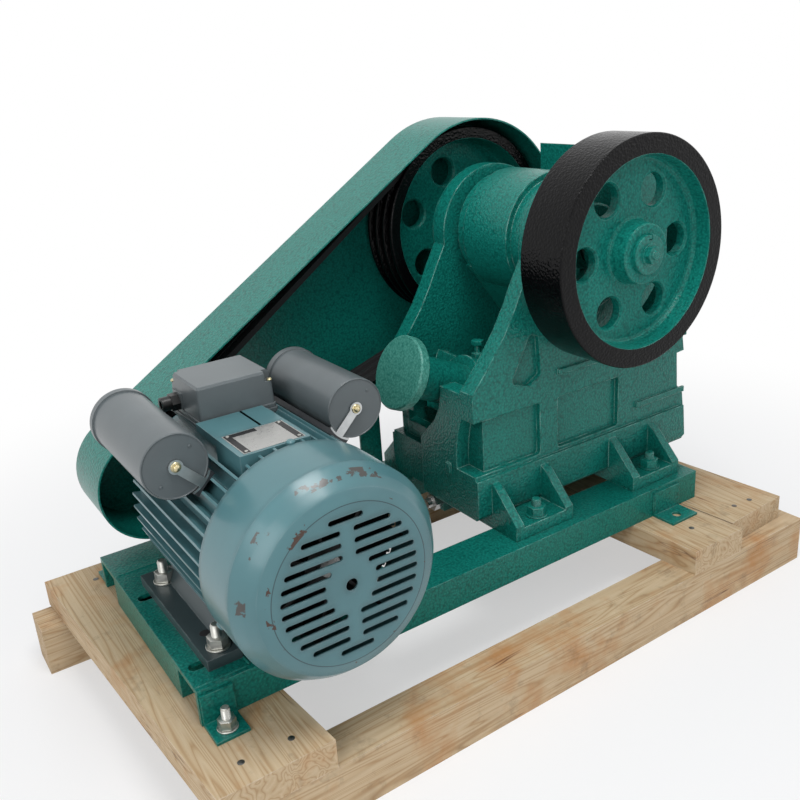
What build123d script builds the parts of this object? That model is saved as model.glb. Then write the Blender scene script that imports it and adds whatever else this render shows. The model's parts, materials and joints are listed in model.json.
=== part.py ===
from math import asin, atan2, cos, hypot, radians, sin, sqrt, tan
import os

from build123d import *

os.makedirs("parts", exist_ok=True)

# Where the frame's left end, the crusher's middle plane and the plank tops lie
origin_x = -338.4
middle_y = 15.85
deck_z = 85.9

# Clearances
seat_gap = 0.2
running_fit = 0.05
belt_gap = 0.5

# Timber skid
plank_thick = 29.8
plank_slope = 0.0727
skid_near = -229.8
skid_far = 198.1
beam_near_w = (skid_near, -184.0)
beam_far_w = (146.4, 192.4)
beam_front_x = (-20.0, 751.7)
beam_back_x = (-75.0, 724.0)
plank_left_x = (-29.3, 78.1)
plank_inner_x = (543.5, 626.1)
plank_outer_x = (628.0, 726.7)

# Base frame channels
bed_z = 36.5
bed_length = 654.0
channel_w = (90.5, 143.6)
channel_web = 4.5
channel_flange = 5.5
rail_width = 52.0
end_bar_thick = 6.0

# Anchor tabs
tab_reach = 31.0
tab_thick = 3.0
tab_height = 32.0
tab_near_x = (1.0, 32.0)
tab_right_x = (577.0, 620.0)
tab_hole_radius = 5.5

# Motor, frame size 100
motor_x = 116.3
motor_z = 136.5
motor_bolt_w = (-109.0, 30.8)
motor_bolt_half = 80.0
barrel_radius = 84.0
fin_radius = 95.5
fin_thick = 2.4
fin_count = 44
barrel_w = (-143.6, 36.4)
shield_end_w = 93.8
motor_shaft_end_w = 153.8
motor_shaft_radius = 14.0
foot_plate_x = (19.0, 52.0)
foot_plate_w = (-124.6, 56.4)
foot_plate_thick = 11.0
pad_top_z = 232.0
name_pad_x = (72.0, 139.0)
name_pad_w = (-132.6, -78.6)
box_x = (77.0, 156.0)
box_w = (-31.6, 41.4)
box_z = (221.0, 263.0)
box_base_top = 226.0
box_flange = 1.0
box_notch = 8.0
box_notch_low = 253.0
cap_radius = 29.5
cap_z = 228.0
cap_left_x = 25.7
cap_right_x = 206.9
cap_left_near = -105.0
cap_right_near = -95.0
cap_far = 46.4
cap_dish = 0.6
strap_thick = 1.5
strap_half = 4.5
strap_eye = 6.5
rest_half = 12.0
rest_reach = 36.0

# Fan cover
cover_front_w = -225.6
cover_shoulder_w = -201.6
cover_radius = 98.0
cover_seam_radius = 72.5
cover_sheet = 1.6
slot_pitch = 11.0
slot_width = 5.0
slot_rows = 5
slot_inner_radius = 24.0
slot_outer_radius = 64.5
slot_min_x = 6.0

# Crusher shaft and wheels
shaft_x = 515.3
shaft_z = 335.4
journal_radius = 20.0
hub_bore = 18.0
throw = 4.0
eccentric_radius = 25.0
wheel_radius = 119.4
flywheel_w = (-174.5, -116.9)
pulley_w = (116.9, 170.4)
flywheel_rim_inner = 99.0
pulley_rim_inner = 105.5
flywheel_web_depth = 20.0
pulley_web_depth = 29.5
web_thick = 13.6
hub_radius = 33.0
hub_tip_radius = 31.0
spoke_hole_radius = 17.0
spoke_hole_edge = 2.0
spoke_hole_circle = 67.4
spoke_holes = 6
flywheel_phase = 2.7
pulley_phase = 44.0

# Belt drive
belt_pitch_w = 16.0
belt_top = 12.6
belt_height = 8.0
belt_count = 3
groove_slope = tan(radians(19))
motor_pulley_radius = 51.0

# Belt guard
guard_sheet = 2.0
guard_w = (95.0, 178.4)
guard_big = 130.0
guard_small = 62.5
guard_small_x = 63.0
guard_small_z = 124.0

# Crusher casting
cheek_outer = 87.6
cheek_thick = 21.0
cheek_inner = cheek_outer - cheek_thick
foot_thick = 14.5
body_bottom = bed_z + foot_thick
body_back_x = 352.0
body_base_x = 362.0
body_front_x = 694.0
body_toe_x = 698.0
base_band = 4.0
base_band_top = 99.5
panel_depth = 6.0
wall_split_w = 14.0
far_wall_x = 372.0
far_wall_top = 145.0
corner_pocket_depth = 4.0
corner_pocket_z = (104.0, 167.5)
back_wall_inner = 372.0
front_wall_inner = 664.0
mouth_z = 345.0
mouth_end_x = 690.0
head_round = 78.0
foot_reach = 132.0
foot_rib = 11.0
foot_rib_top = 95.0
foot_one_x = (371.5, 455.0)
foot_two_x = (554.0, 634.0)
bearing_radius = 36.0
cap_cover_radius = 45.0
cap_cover_thick = 14.0

# Crushing chamber
chamber_half = 60.0
swing_half = 55.0
jaw_gap = 14.0
fixed_tip_x = 648.0
plate_body = 10.0
tooth_depth = 6.0
tooth_pitch = 10.0
swing_top = (595.0, 300.0)
swing_low_z = 92.0
swing_low = (fixed_tip_x - jaw_gap, swing_low_z)
head_radius = 71.0
head_half = 38.0
collar_radius = 64.0
collar_half = 57.0

# Adjuster
adjust_x = 317.5
adjust_z = 213.0
adjust_drop = radians(23.8)
handwheel_radius = 42.0
handwheel_thick = 12.0
screw_radius = 12.0
sleeve_radius = 25.0
sleeve_t = (15.0, 90.0)
boss_t = (90.0, 125.0)
boss_radius = 36.0
seat_t = (135.0, 168.0)
toggle_t = (158.0, 262.0)
toggle_end_radius = 6.0
toggle_half = 45.0
toggle_play = 10.0

# Pull rod
rod_radius = 6.0
rod_z = 40.6


def upright(w=0.0):
    return Plane(origin=(origin_x, middle_y + w, deck_z), x_dir=(1, 0, 0), z_dir=(0, -1, 0))


def level(z=0.0):
    return Plane(origin=(origin_x, middle_y, deck_z + z), x_dir=(1, 0, 0), z_dir=(0, 0, 1))


def across(x=0.0):
    return Plane(origin=(origin_x + x, middle_y, deck_z), x_dir=(0, 1, 0), z_dir=(1, 0, 0))


def slab(points, near, far, mode=Mode.ADD, corner=0.0):
    with BuildSketch(upright(far)) as face:
        with BuildLine():
            Polyline(*points, close=True)
        make_face()
        if corner > 0:
            fillet(face.vertices(), corner)
    extrude(face.sketch, amount=far - near, dir=(0, -1, 0), mode=mode)


def block(x0, x1, near, far, low, top, mode=Mode.ADD):
    slab([(x0, low), (x1, low), (x1, top), (x0, top)], near, far, mode)


def disc(x, z, radius, near, far, mode=Mode.ADD):
    with BuildSketch(upright(far)) as face:
        with Locations((x, z)):
            Circle(radius)
    extrude(face.sketch, amount=far - near, dir=(0, -1, 0), mode=mode)


def turned(x, z, profile, mode=Mode.ADD):
    centre = (origin_x + x, middle_y, deck_z + z)
    with BuildSketch(Plane(origin=centre, x_dir=(0, 1, 0), z_dir=(1, 0, 0))) as face:
        with BuildLine():
            Polyline(*profile, close=True)
        make_face()
    revolve(face.sketch, axis=Axis(centre, (0, 1, 0)), mode=mode)


def profile_x(points, x0, x1, mode=Mode.ADD):
    with BuildSketch(across(x0)) as face:
        with BuildLine():
            Polyline(*points, close=True)
        make_face()
    extrude(face.sketch, amount=x1 - x0, dir=(1, 0, 0), mode=mode)


def save(part, name):
    part.part.label = name
    export_step(part.part, "parts/" + name + ".step")


adjust_centre = (origin_x + adjust_x, middle_y, deck_z + adjust_z)
adjust_dir = (cos(adjust_drop), 0, -sin(adjust_drop))
adjust_plane = Plane(origin=adjust_centre, x_dir=adjust_dir, z_dir=(0, -1, 0))


def on_adjuster(t, s=0.0):
    x = adjust_x + t * cos(adjust_drop) + s * sin(adjust_drop)
    return (x, adjust_z - t * sin(adjust_drop) + s * cos(adjust_drop))


def adjuster_turned(profile, mode=Mode.ADD):
    with BuildSketch(adjust_plane) as face:
        with BuildLine():
            Polyline(*profile, close=True)
        make_face()
    revolve(face.sketch, axis=Axis(adjust_centre, adjust_dir), mode=mode)


# Skid beams
with BuildPart() as skid_beam_front:
    block(*beam_front_x, *beam_near_w, -deck_z, -plank_thick)
save(skid_beam_front, "skid_beam_front")

with BuildPart() as skid_beam_back:
    block(*beam_back_x, *beam_far_w, -deck_z, -plank_thick)
save(skid_beam_back, "skid_beam_back")


# Planks, all sloping a little across the skid
def plank_outline(x_pair, near_cut=0.0):
    near_shift = -plank_slope * (skid_near + channel_w[1])
    far_shift = -plank_slope * (skid_far + channel_w[1])
    near = skid_near + near_cut
    low, high = x_pair
    return [(low + near_shift, near), (high + near_shift, near + near_cut / 3),
            (high + far_shift, skid_far), (low + far_shift, skid_far)]


for plank_name, plank_x, near_cut in (("skid_plank_left", plank_left_x, 0.0),
                                      ("skid_plank_right_inner", plank_inner_x, 0.0),
                                      ("skid_plank_right_outer", plank_outer_x, 15.0)):
    with BuildPart() as plank:
        with BuildSketch(level(-plank_thick)):
            with BuildLine():
                Polyline(*plank_outline(plank_x, near_cut), close=True)
            make_face()
        extrude(amount=plank_thick)
    save(plank, plank_name)


# Long channels, web on top, flanges down
def channel_section(near, far):
    return [(near, 0), (near + channel_flange, 0), (near + channel_flange, bed_z - channel_web),
            (far - channel_flange, bed_z - channel_web), (far - channel_flange, 0), (far, 0),
            (far, bed_z), (near, bed_z)]


right_rail_x = 2 * motor_x - rail_width
tongue_w = -channel_w[1] + 6.0
with BuildPart() as frame_channel_near:
    profile_x(channel_section(-channel_w[1], -channel_w[0]), 0, bed_length)
    for rail_x in (0.0, right_rail_x):
        block(rail_x - seat_gap, rail_x + rail_width + seat_gap, tongue_w - seat_gap, -channel_w[0] + 1,
              bed_z - channel_web - seat_gap, bed_z + 1, mode=Mode.SUBTRACT)
save(frame_channel_near, "frame_channel_near")

with BuildPart() as frame_channel_far:
    profile_x(channel_section(channel_w[0], channel_w[1]), 0, bed_length)
save(frame_channel_far, "frame_channel_far")

# Motor rails between the long channels, with slots for the motor bolts
slot_length = 40.0
for rail_name, rail_x, slot_x in (("motor_rail_left", 0.0, motor_x - motor_bolt_half - 10),
                                  ("motor_rail_right", right_rail_x, motor_x + motor_bolt_half + 10)):
    with BuildPart() as rail:
        rail_near = -channel_w[0] + seat_gap
        rail_far = channel_w[0] - seat_gap
        block(rail_x, rail_x + rail_width, rail_near, rail_far, 0, bed_z)
        block(rail_x + channel_flange, rail_x + rail_width - channel_flange, rail_near, rail_far,
              0, bed_z - channel_web, mode=Mode.SUBTRACT)
        block(rail_x, rail_x + rail_width, tongue_w, rail_near, bed_z - channel_web, bed_z)
        with BuildSketch(level(bed_z - channel_web)):
            with Locations(*[(slot_x, bolt_w) for bolt_w in motor_bolt_w]):
                SlotOverall(slot_length, 12)
        extrude(amount=channel_web, mode=Mode.SUBTRACT)
    save(rail, rail_name)

with BuildPart() as frame_end_bar:
    block(bed_length - end_bar_thick, bed_length, -channel_w[0] + seat_gap, channel_w[0] - seat_gap, 0, bed_z)
save(frame_end_bar, "frame_end_bar")

# Anchor tabs, small angles on the channels' outer faces
for tab_name, tab_x, side in (("anchor_tab_near_left", tab_near_x, -1), ("anchor_tab_near_right", tab_right_x, -1),
                              ("anchor_tab_far_left", tab_near_x, 1), ("anchor_tab_far_right", tab_right_x, 1)):
    face = side * channel_w[1]
    out = side * (channel_w[1] + tab_reach)
    leg = side * (channel_w[1] + tab_thick)
    with BuildPart() as tab:
        profile_x([(face, 0), (out, 0), (out, tab_thick), (leg, tab_thick), (leg, tab_height), (face, tab_height)],
                  *tab_x)
        with BuildSketch(level()):
            with Locations((sum(tab_x) / 2, side * (channel_w[1] + 18))):
                Circle(tab_hole_radius)
        extrude(amount=tab_thick, mode=Mode.SUBTRACT)
    save(tab, tab_name)

# Motor housing with fins along the shaft, pads for the box and the plate
foot_angle = 230.0
foot_fin_gap = 17.0
with BuildPart() as motor_housing:
    disc(motor_x, motor_z, barrel_radius, *barrel_w)
    fin_angles = [360 * i / fin_count for i in range(fin_count)]
    kept = [a for a in fin_angles
            if abs(a - foot_angle) > foot_fin_gap and abs(a - 540 + foot_angle) > foot_fin_gap]
    with BuildSketch(upright(barrel_w[1])):
        with Locations((motor_x, motor_z)):
            for angle in kept:
                with Locations(Rotation(0, 0, angle)):
                    with Locations(((barrel_radius + fin_radius) / 2 - 1, 0)):
                        Rectangle(fin_radius - barrel_radius + 2, fin_thick)
    extrude(amount=barrel_w[1] - barrel_w[0])
    block(*name_pad_x, *name_pad_w, motor_z + barrel_radius - 30, pad_top_z)
    block(box_x[0] + 8, box_x[1] - 8, box_w[0] + 4, barrel_w[1], motor_z + barrel_radius - 30, box_z[0])
    block(box_x[0] - box_flange - seat_gap, box_x[1] + box_flange + seat_gap, box_w[0] - 2, barrel_w[1],
          box_z[0], pad_top_z + 5, mode=Mode.SUBTRACT)
    disc(motor_x, motor_z, motor_shaft_radius + running_fit, *barrel_w, mode=Mode.SUBTRACT)
save(motor_housing, "motor_housing")

with BuildPart() as motor_end_shield:
    turned(motor_x, motor_z, [(barrel_w[1], 0), (barrel_w[1], barrel_radius), (barrel_w[1] + 12, barrel_radius),
                              (barrel_w[1] + 22, 80), (shield_end_w - 14, 62), (shield_end_w - 14, 40),
                              (shield_end_w, 32), (shield_end_w, 0)])
    disc(motor_x, motor_z, motor_shaft_radius + running_fit, barrel_w[1], shield_end_w, mode=Mode.SUBTRACT)
save(motor_end_shield, "motor_end_shield")

# Motor feet, plate and sloping web, mirrored about the motor axis
foot_top = bed_z + foot_plate_thick
for foot_name, side in (("motor_foot_left", -1), ("motor_foot_right", 1)):
    def across_motor(points):
        return [(motor_x + side * (motor_x - x), z) for x, z in points]

    with BuildPart() as foot:
        slab(across_motor([(foot_plate_x[0], bed_z), (foot_plate_x[1], bed_z),
                           (foot_plate_x[1], foot_top), (foot_plate_x[0], foot_top)]), *foot_plate_w)
        slab(across_motor([(38, foot_top - 1), (51, foot_top - 1), (82, 74), (66, 96)]),
             foot_plate_w[0] + 18, barrel_w[1] - 4)
        disc(motor_x, motor_z, barrel_radius, *foot_plate_w, mode=Mode.SUBTRACT)
        bolt_x = motor_x + side * motor_bolt_half
        with BuildSketch(level(bed_z)):
            with Locations(*[(bolt_x, bolt_w) for bolt_w in motor_bolt_w]):
                Circle(6)
        extrude(amount=foot_plate_thick, mode=Mode.SUBTRACT)
    save(foot, foot_name)

# Fan cover, turned sheet with rows of slots on its face
with BuildPart() as fan_cover:
    turned(motor_x, motor_z, [
        (barrel_w[0], cover_radius), (cover_shoulder_w, cover_radius), (cover_front_w + 13, 91),
        (cover_front_w + 4, 83), (cover_front_w, cover_seam_radius), (cover_front_w, 5.5),
        (cover_front_w + cover_sheet, 5.5), (cover_front_w + cover_sheet, cover_seam_radius - 1),
        (cover_front_w + 5.5, 81), (cover_front_w + 14, 89.2), (cover_shoulder_w + 1, cover_radius - cover_sheet),
        (barrel_w[0], cover_radius - cover_sheet)])
    with BuildSketch(upright(cover_front_w + cover_sheet + 1)):
        for row in range(-slot_rows, slot_rows):
            slot_z = (row + 0.5) * slot_pitch
            inner = max(slot_min_x, sqrt(max(slot_inner_radius ** 2 - slot_z ** 2, 0)))
            outer = sqrt(slot_outer_radius ** 2 - slot_z ** 2)
            for side in (-1, 1):
                with Locations((motor_x + side * (inner + outer) / 2, motor_z + slot_z)):
                    SlotOverall(outer - inner, slot_width)
        for side in (-1, 1):
            with Locations((motor_x, motor_z + side * (slot_rows + 0.5) * slot_pitch)):
                SlotOverall(32, slot_width)
    extrude(amount=2 * cover_sheet + 1, mode=Mode.SUBTRACT)
save(fan_cover, "fan_cover")

# Motor rotor parts
fan_back = barrel_w[0] - 12
with BuildPart() as motor_fan:
    turned(motor_x, motor_z, [(fan_back, 10), (fan_back, 80), (fan_back - 3, 80), (fan_back - 3, 22),
                              (fan_back - 30, 22), (fan_back - 30, 10)])
    with BuildSketch(upright(fan_back - 3)):
        with Locations((motor_x, motor_z)):
            with PolarLocations(48, 7):
                Rectangle(56, 3)
    extrude(amount=30)
save(motor_fan, "motor_fan")

with BuildPart() as motor_shaft:
    disc(motor_x, motor_z, 10 - running_fit, fan_back - 34, barrel_w[0])
    disc(motor_x, motor_z, motor_shaft_radius, barrel_w[0], motor_shaft_end_w)
save(motor_shaft, "motor_shaft")


# Grooved wheels
def groove_cuts(x, z, radius, width_centre):
    half_top = belt_top / 2 + belt_gap
    depth = belt_height + 2 * belt_gap + 0.5
    half_low = half_top - depth * groove_slope
    for i in range(belt_count):
        w = width_centre + (i - (belt_count - 1) / 2) * belt_pitch_w
        turned(x, z, [(w - half_top, radius), (w - half_top, radius + 1), (w + half_top, radius + 1),
                      (w + half_top, radius), (w + half_low, radius - depth), (w - half_low, radius - depth)],
               mode=Mode.SUBTRACT)


groove_w = sum(pulley_w) / 2
with BuildPart() as motor_pulley:
    turned(motor_x, motor_z, [(pulley_w[0] + 2, motor_shaft_radius + running_fit),
                              (pulley_w[0] + 2, motor_pulley_radius), (pulley_w[1] - 2, motor_pulley_radius),
                              (pulley_w[1] - 2, motor_shaft_radius + running_fit)])
    groove_cuts(motor_x, motor_z, motor_pulley_radius, groove_w)
save(motor_pulley, "motor_pulley")


def wheel(w_pair, rim_inner, web_depth, phase):
    near, far = w_pair
    web_near = near + web_depth
    web_far = web_near + web_thick
    cove = rim_inner - 4
    turned(shaft_x, shaft_z, [
        (near, rim_inner), (near, wheel_radius - 1), (near + 1, wheel_radius), (far - 1, wheel_radius),
        (far, wheel_radius - 1), (far, rim_inner), (web_far + 4, cove + 2), (web_far + 1, cove), (web_far, cove - 3),
        (web_far, hub_radius + 3), (web_far + 1, hub_radius + 1), (web_far + 3, hub_radius),
        (far - 1, hub_tip_radius + 0.3), (far, hub_tip_radius - 0.7), (far, hub_bore + running_fit),
        (near, hub_bore + running_fit), (near, hub_tip_radius - 0.7), (near + 1, hub_tip_radius + 0.3),
        (web_near - 3, hub_radius), (web_near - 1, hub_radius + 1), (web_near, hub_radius + 3),
        (web_near, cove - 3), (web_near - 1, cove), (web_near - 4, cove + 2)])
    for i in range(spoke_holes):
        angle = radians(phase + 360 * i / spoke_holes)
        wide = spoke_hole_radius + spoke_hole_edge
        turned(shaft_x + spoke_hole_circle * cos(angle), shaft_z + spoke_hole_circle * sin(angle), [
            (web_near - 1, 0), (web_near - 1, wide), (web_near, wide), (web_near + spoke_hole_edge, spoke_hole_radius),
            (web_far - spoke_hole_edge, spoke_hole_radius), (web_far, wide), (web_far + 1, wide), (web_far + 1, 0)],
            mode=Mode.SUBTRACT)


with BuildPart() as flywheel:
    wheel(flywheel_w, flywheel_rim_inner, flywheel_web_depth, flywheel_phase)
save(flywheel, "flywheel")

with BuildPart() as pulley:
    wheel(pulley_w, pulley_rim_inner, pulley_web_depth, pulley_phase)
    groove_cuts(shaft_x, shaft_z, wheel_radius, groove_w)
save(pulley, "pulley")

# Eccentric shaft with its end collar and nut on the flywheel side
collar_w = flywheel_w[0] - 5
nut_w = collar_w - 6.4
with BuildPart() as eccentric_shaft:
    turned(shaft_x, shaft_z, [
        (nut_w - 2, 0), (nut_w - 2, 4), (nut_w, 5), (collar_w, 5), (collar_w, 20), (collar_w + 1, 21),
        (flywheel_w[0], 21), (flywheel_w[0], hub_bore), (flywheel_w[1], hub_bore), (flywheel_w[1], journal_radius),
        (pulley_w[0], journal_radius), (pulley_w[0], hub_bore), (pulley_w[1], hub_bore), (pulley_w[1], 0)])
    with BuildSketch(upright(collar_w)) as nut:
        with Locations((shaft_x, shaft_z)):
            RegularPolygon(9.5, 6)
    extrude(nut.sketch, amount=6.4, dir=(0, -1, 0))
    block(shaft_x - 3, shaft_x + 3, collar_w - 1, flywheel_w[0], shaft_z + 15, shaft_z + 22, mode=Mode.SUBTRACT)
    disc(shaft_x, shaft_z + throw, eccentric_radius, -collar_half, collar_half)
save(eccentric_shaft, "eccentric_shaft")

# Belts, one closed loop each, trapezium section
belt_big = wheel_radius - belt_gap
belt_small = motor_pulley_radius - belt_gap
drive_dx = shaft_x - motor_x
drive_dz = shaft_z - motor_z
drive_length = hypot(drive_dx, drive_dz)
drive_angle = atan2(drive_dz, drive_dx)


def rim(cx, cz, r, a):
    return (cx + r * cos(a), cz + r * sin(a))


def loop_face(big, small, plane, big_x=shaft_x, big_z=shaft_z, small_x=motor_x, small_z=motor_z):
    span = hypot(big_x - small_x, big_z - small_z)
    lean = asin((big - small) / span)
    heading = atan2(big_z - small_z, big_x - small_x)
    up = heading + lean
    down = heading - lean
    top_a = up + radians(90)
    low_a = down - radians(90)
    with BuildSketch(plane) as face:
        with BuildLine():
            Line(rim(small_x, small_z, small, top_a), rim(big_x, big_z, big, top_a))
            ThreePointArc(rim(big_x, big_z, big, top_a), rim(big_x, big_z, big, heading),
                          rim(big_x, big_z, big, low_a))
            Line(rim(big_x, big_z, big, low_a), rim(small_x, small_z, small, low_a))
            ThreePointArc(rim(small_x, small_z, small, low_a), rim(small_x, small_z, small, heading + radians(180)),
                          rim(small_x, small_z, small, top_a))
        make_face()
    return face.sketch


half_low_belt = belt_top / 2 - belt_height * groove_slope
for i in range(belt_count):
    belt_w = groove_w + (i - (belt_count - 1) / 2) * belt_pitch_w
    with BuildPart() as v_belt:
        lean = asin((belt_big - belt_small) / drive_length)
        start_dir = drive_angle + lean
        normal = start_dir + radians(90)
        section_x = motor_x + belt_small * cos(normal) + 0.5 * drive_length * cos(start_dir) * cos(lean)
        section_z = motor_z + belt_small * sin(normal) + 0.5 * drive_length * sin(start_dir) * cos(lean)
        section = Plane(origin=(origin_x + section_x, middle_y + belt_w, deck_z + section_z),
                        x_dir=(0, 1, 0), z_dir=(cos(start_dir), 0, sin(start_dir)))
        with BuildLine(upright(belt_w)) as path:
            top_a = normal
            low_a = drive_angle - lean - radians(90)
            Line((section_x, section_z), rim(shaft_x, shaft_z, belt_big, top_a))
            ThreePointArc(rim(shaft_x, shaft_z, belt_big, top_a), rim(shaft_x, shaft_z, belt_big, drive_angle),
                          rim(shaft_x, shaft_z, belt_big, low_a))
            Line(rim(shaft_x, shaft_z, belt_big, low_a), rim(motor_x, motor_z, belt_small, low_a))
            ThreePointArc(rim(motor_x, motor_z, belt_small, low_a),
                          rim(motor_x, motor_z, belt_small, drive_angle + radians(180)),
                          rim(motor_x, motor_z, belt_small, top_a))
            Line(rim(motor_x, motor_z, belt_small, top_a), (section_x, section_z))
        with BuildSketch(section):
            with BuildLine():
                Polyline((-belt_top / 2, 0), (belt_top / 2, 0), (half_low_belt, -belt_height),
                         (-half_low_belt, -belt_height), close=True)
            make_face()
        sweep(path=path.wires()[0])
    save(v_belt, "v_belt_" + str(i + 1))

# Belt guard, back plate and rim, open toward the machine
plate_near = guard_w[1] - guard_sheet
with BuildPart() as guard_plate:
    outline = loop_face(guard_big, guard_small, upright(guard_w[1]), small_x=guard_small_x, small_z=guard_small_z)
    extrude(outline, amount=guard_sheet, dir=(0, -1, 0))
save(guard_plate, "guard_plate")

with BuildPart() as guard_rim:
    outline = loop_face(guard_big, guard_small, upright(plate_near), small_x=guard_small_x, small_z=guard_small_z)
    extrude(outline, amount=plate_near - guard_w[0], dir=(0, -1, 0))
    inside = loop_face(guard_big - guard_sheet, guard_small - guard_sheet, upright(plate_near),
                       small_x=guard_small_x, small_z=guard_small_z)
    extrude(inside, amount=plate_near - guard_w[0], dir=(0, -1, 0), mode=Mode.SUBTRACT)
save(guard_rim, "guard_rim")

guard_span = hypot(shaft_x - guard_small_x, shaft_z - guard_small_z)
guard_lean = asin((guard_big - guard_small) / guard_span)
guard_heading = atan2(shaft_z - guard_small_z, shaft_x - guard_small_x)
low_line = guard_heading - guard_lean
low_start = (guard_small_x + guard_small * cos(low_line - radians(90)),
             guard_small_z + guard_small * sin(low_line - radians(90)))


def guard_low(x):
    return low_start[1] + (x - low_start[0]) * tan(low_line)


# Guard brackets, bent strips from the far channel up to the guard's lower run
for bracket_name, bracket_x in (("guard_bracket_left", 100.0), ("guard_bracket_right", 330.0)):
    with BuildPart() as bracket:
        block(bracket_x, bracket_x + 30, 100, 140, bed_z, bed_z + 3)
        slab([(bracket_x, bed_z + 2), (bracket_x + 30, bed_z + 2), (bracket_x + 30, guard_low(bracket_x + 30)),
              (bracket_x, guard_low(bracket_x))], 118, 121)
        slab([(bracket_x, guard_low(bracket_x) - 3), (bracket_x + 30, guard_low(bracket_x + 30) - 3),
              (bracket_x + 30, guard_low(bracket_x + 30)), (bracket_x, guard_low(bracket_x))], 100, 140)
    save(bracket, bracket_name)

# Crusher casting
front_line = [(mouth_end_x, 200), (mouth_end_x - 3, 190), (mouth_end_x, 173), (677, 172), (680, 128),
              (mouth_end_x + 0.6, 116), (body_toe_x, 64), (body_front_x, 58)]
cheek_outline = [(body_base_x, body_bottom), (body_base_x, 104), (body_back_x, 104), (body_back_x, 200),
                 (356, 203.5), (377, 228), (399, 257), (413, 281), (424, 303),
                 (439, 330), (shaft_x, shaft_z), (shaft_x + head_round, shaft_z), (shaft_x + head_round, mouth_z),
                 (mouth_end_x, mouth_z), *front_line, (body_front_x, body_bottom)]
boss_top = on_adjuster(boss_t[0], boss_radius)
with BuildPart() as crusher_body:
    for near, far in ((-cheek_outer, -cheek_inner), (cheek_inner, cheek_outer)):
        slab(cheek_outline, near, far)
        disc(shaft_x, shaft_z, head_round, near, far)
    # rear wall with its notch, set back at the base
    block(body_back_x, back_wall_inner, -cheek_inner - 1, cheek_inner + 1, 104, 196)
    block(body_base_x, back_wall_inner + 6, -cheek_inner - 1, cheek_inner + 1, body_bottom, 106)
    block(body_back_x, body_base_x + 1, -cheek_outer, wall_split_w, body_bottom, corner_pocket_z[0])
    profile_x([(-30, 201), (-30, 191), (-26, 169), (-15, 150.5), (wall_split_w, 122),
               (wall_split_w, corner_pocket_z[0]), (cheek_outer + 1, corner_pocket_z[0]),
               (cheek_outer + 1, far_wall_top), (26, far_wall_top + 5), (26, 201)],
              body_back_x - 1, far_wall_x, mode=Mode.SUBTRACT)
    block(far_wall_x - 1, far_wall_x + 12, 0, cheek_inner + 1, body_bottom, 122)
    # front wall behind the fixed jaw
    slab([(front_wall_inner, body_bottom), (body_front_x, body_bottom), *reversed(front_line),
          (mouth_end_x, mouth_z), (front_wall_inner, mouth_z)], -cheek_inner - 1, cheek_inner + 1)
    # cross wall and round boss of the adjuster
    cross = [on_adjuster(100, -40), on_adjuster(120, -40), on_adjuster(120, 30), on_adjuster(100, 30)]
    slab(cross, -cheek_inner - 1, cheek_inner + 1)
    adjuster_turned([(boss_t[0], 0), (boss_t[0], boss_radius), (boss_t[1], boss_radius), (boss_t[1], 0)])
    adjuster_turned([(boss_t[0] - 5, 0), (boss_t[0] - 5, screw_radius + running_fit),
                     (boss_t[1] + 5, screw_radius + running_fit), (boss_t[1] + 5, 0)], mode=Mode.SUBTRACT)
    # guide ledges under the toggle seat
    for side in (-1, 1):
        ledge = [on_adjuster(seat_t[0], -25), on_adjuster(seat_t[1], -25),
                 on_adjuster(seat_t[1], -33), on_adjuster(seat_t[0], -33)]
        slab(ledge, min(side * 50, side * (cheek_inner + 1)), max(side * 50, side * (cheek_inner + 1)))
    # bearing bores
    disc(shaft_x, shaft_z, bearing_radius, -cheek_outer - 1, cheek_outer + 1, mode=Mode.SUBTRACT)
    for side in (-1, 1):
        outer = side * cheek_outer
        # raised base band and ridges
        band = side * (cheek_outer + base_band)
        band_x = body_back_x if side < 0 else body_base_x
        slab([(band_x, body_bottom + 4), (band_x, base_band_top), (mouth_end_x, base_band_top),
              (body_front_x, 58), (body_front_x - 5, body_bottom + 4)], min(outer, band), max(outer, band))
        ridge = side * (cheek_outer + 3)
        block(474, mouth_end_x, min(outer, ridge), max(outer, ridge), 194, 200)
        block(603, mouth_end_x, min(outer, ridge), max(outer, ridge), 118.5, 125.5)
        # sunk panels
        sunk = side * (cheek_outer - panel_depth)
        for x0, x1, low, top in ((body_back_x - 20, 447, 104, 167), (474, 573, 104, 166.5)):
            slab([(x0, low), (x1, low), (x1, top), (x0, top)], min(sunk, band), max(sunk, band),
                 mode=Mode.SUBTRACT, corner=4)
        slab([(406, 199), (432, 190.5), (449, 200), (446, 245), (433.8, 250)], min(sunk, outer), max(sunk, outer),
             mode=Mode.SUBTRACT, corner=5)
        # feet with two ribs each
        for foot_x in (foot_one_x, foot_two_x):
            tip = side * foot_reach
            root = side * (cheek_inner + 1)
            block(*foot_x, min(root, tip), max(root, tip), bed_z, bed_z + foot_thick)
            for rib_x in (foot_x[0], foot_x[1] - foot_rib):
                profile_x([(root, body_bottom - 1), (tip, body_bottom - 1), (tip, body_bottom + 3),
                           (side * (cheek_outer + 12), foot_rib_top - 8), (side * cheek_outer, foot_rib_top),
                           (root, foot_rib_top)], rib_x, rib_x + foot_rib)
    # pocket in the near corner and a small lug beside it
    with BuildSketch(across(body_back_x - 1)) as pocket:
        with BuildLine():
            Line((-66, corner_pocket_z[1]), (-cheek_outer - 6, corner_pocket_z[1]))
            Line((-cheek_outer - 6, corner_pocket_z[1]), (-cheek_outer - 6, corner_pocket_z[0]))
            Line((-cheek_outer - 6, corner_pocket_z[0]), (-55, corner_pocket_z[0]))
            ThreePointArc((-55, corner_pocket_z[0]), (-57, 138), (-66, corner_pocket_z[1]))
        make_face()
    extrude(pocket.sketch, amount=corner_pocket_depth + 1, dir=(1, 0, 0), mode=Mode.SUBTRACT)
    block(body_back_x - 3, body_back_x + 1, -44, -37, 93, 107)
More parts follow.
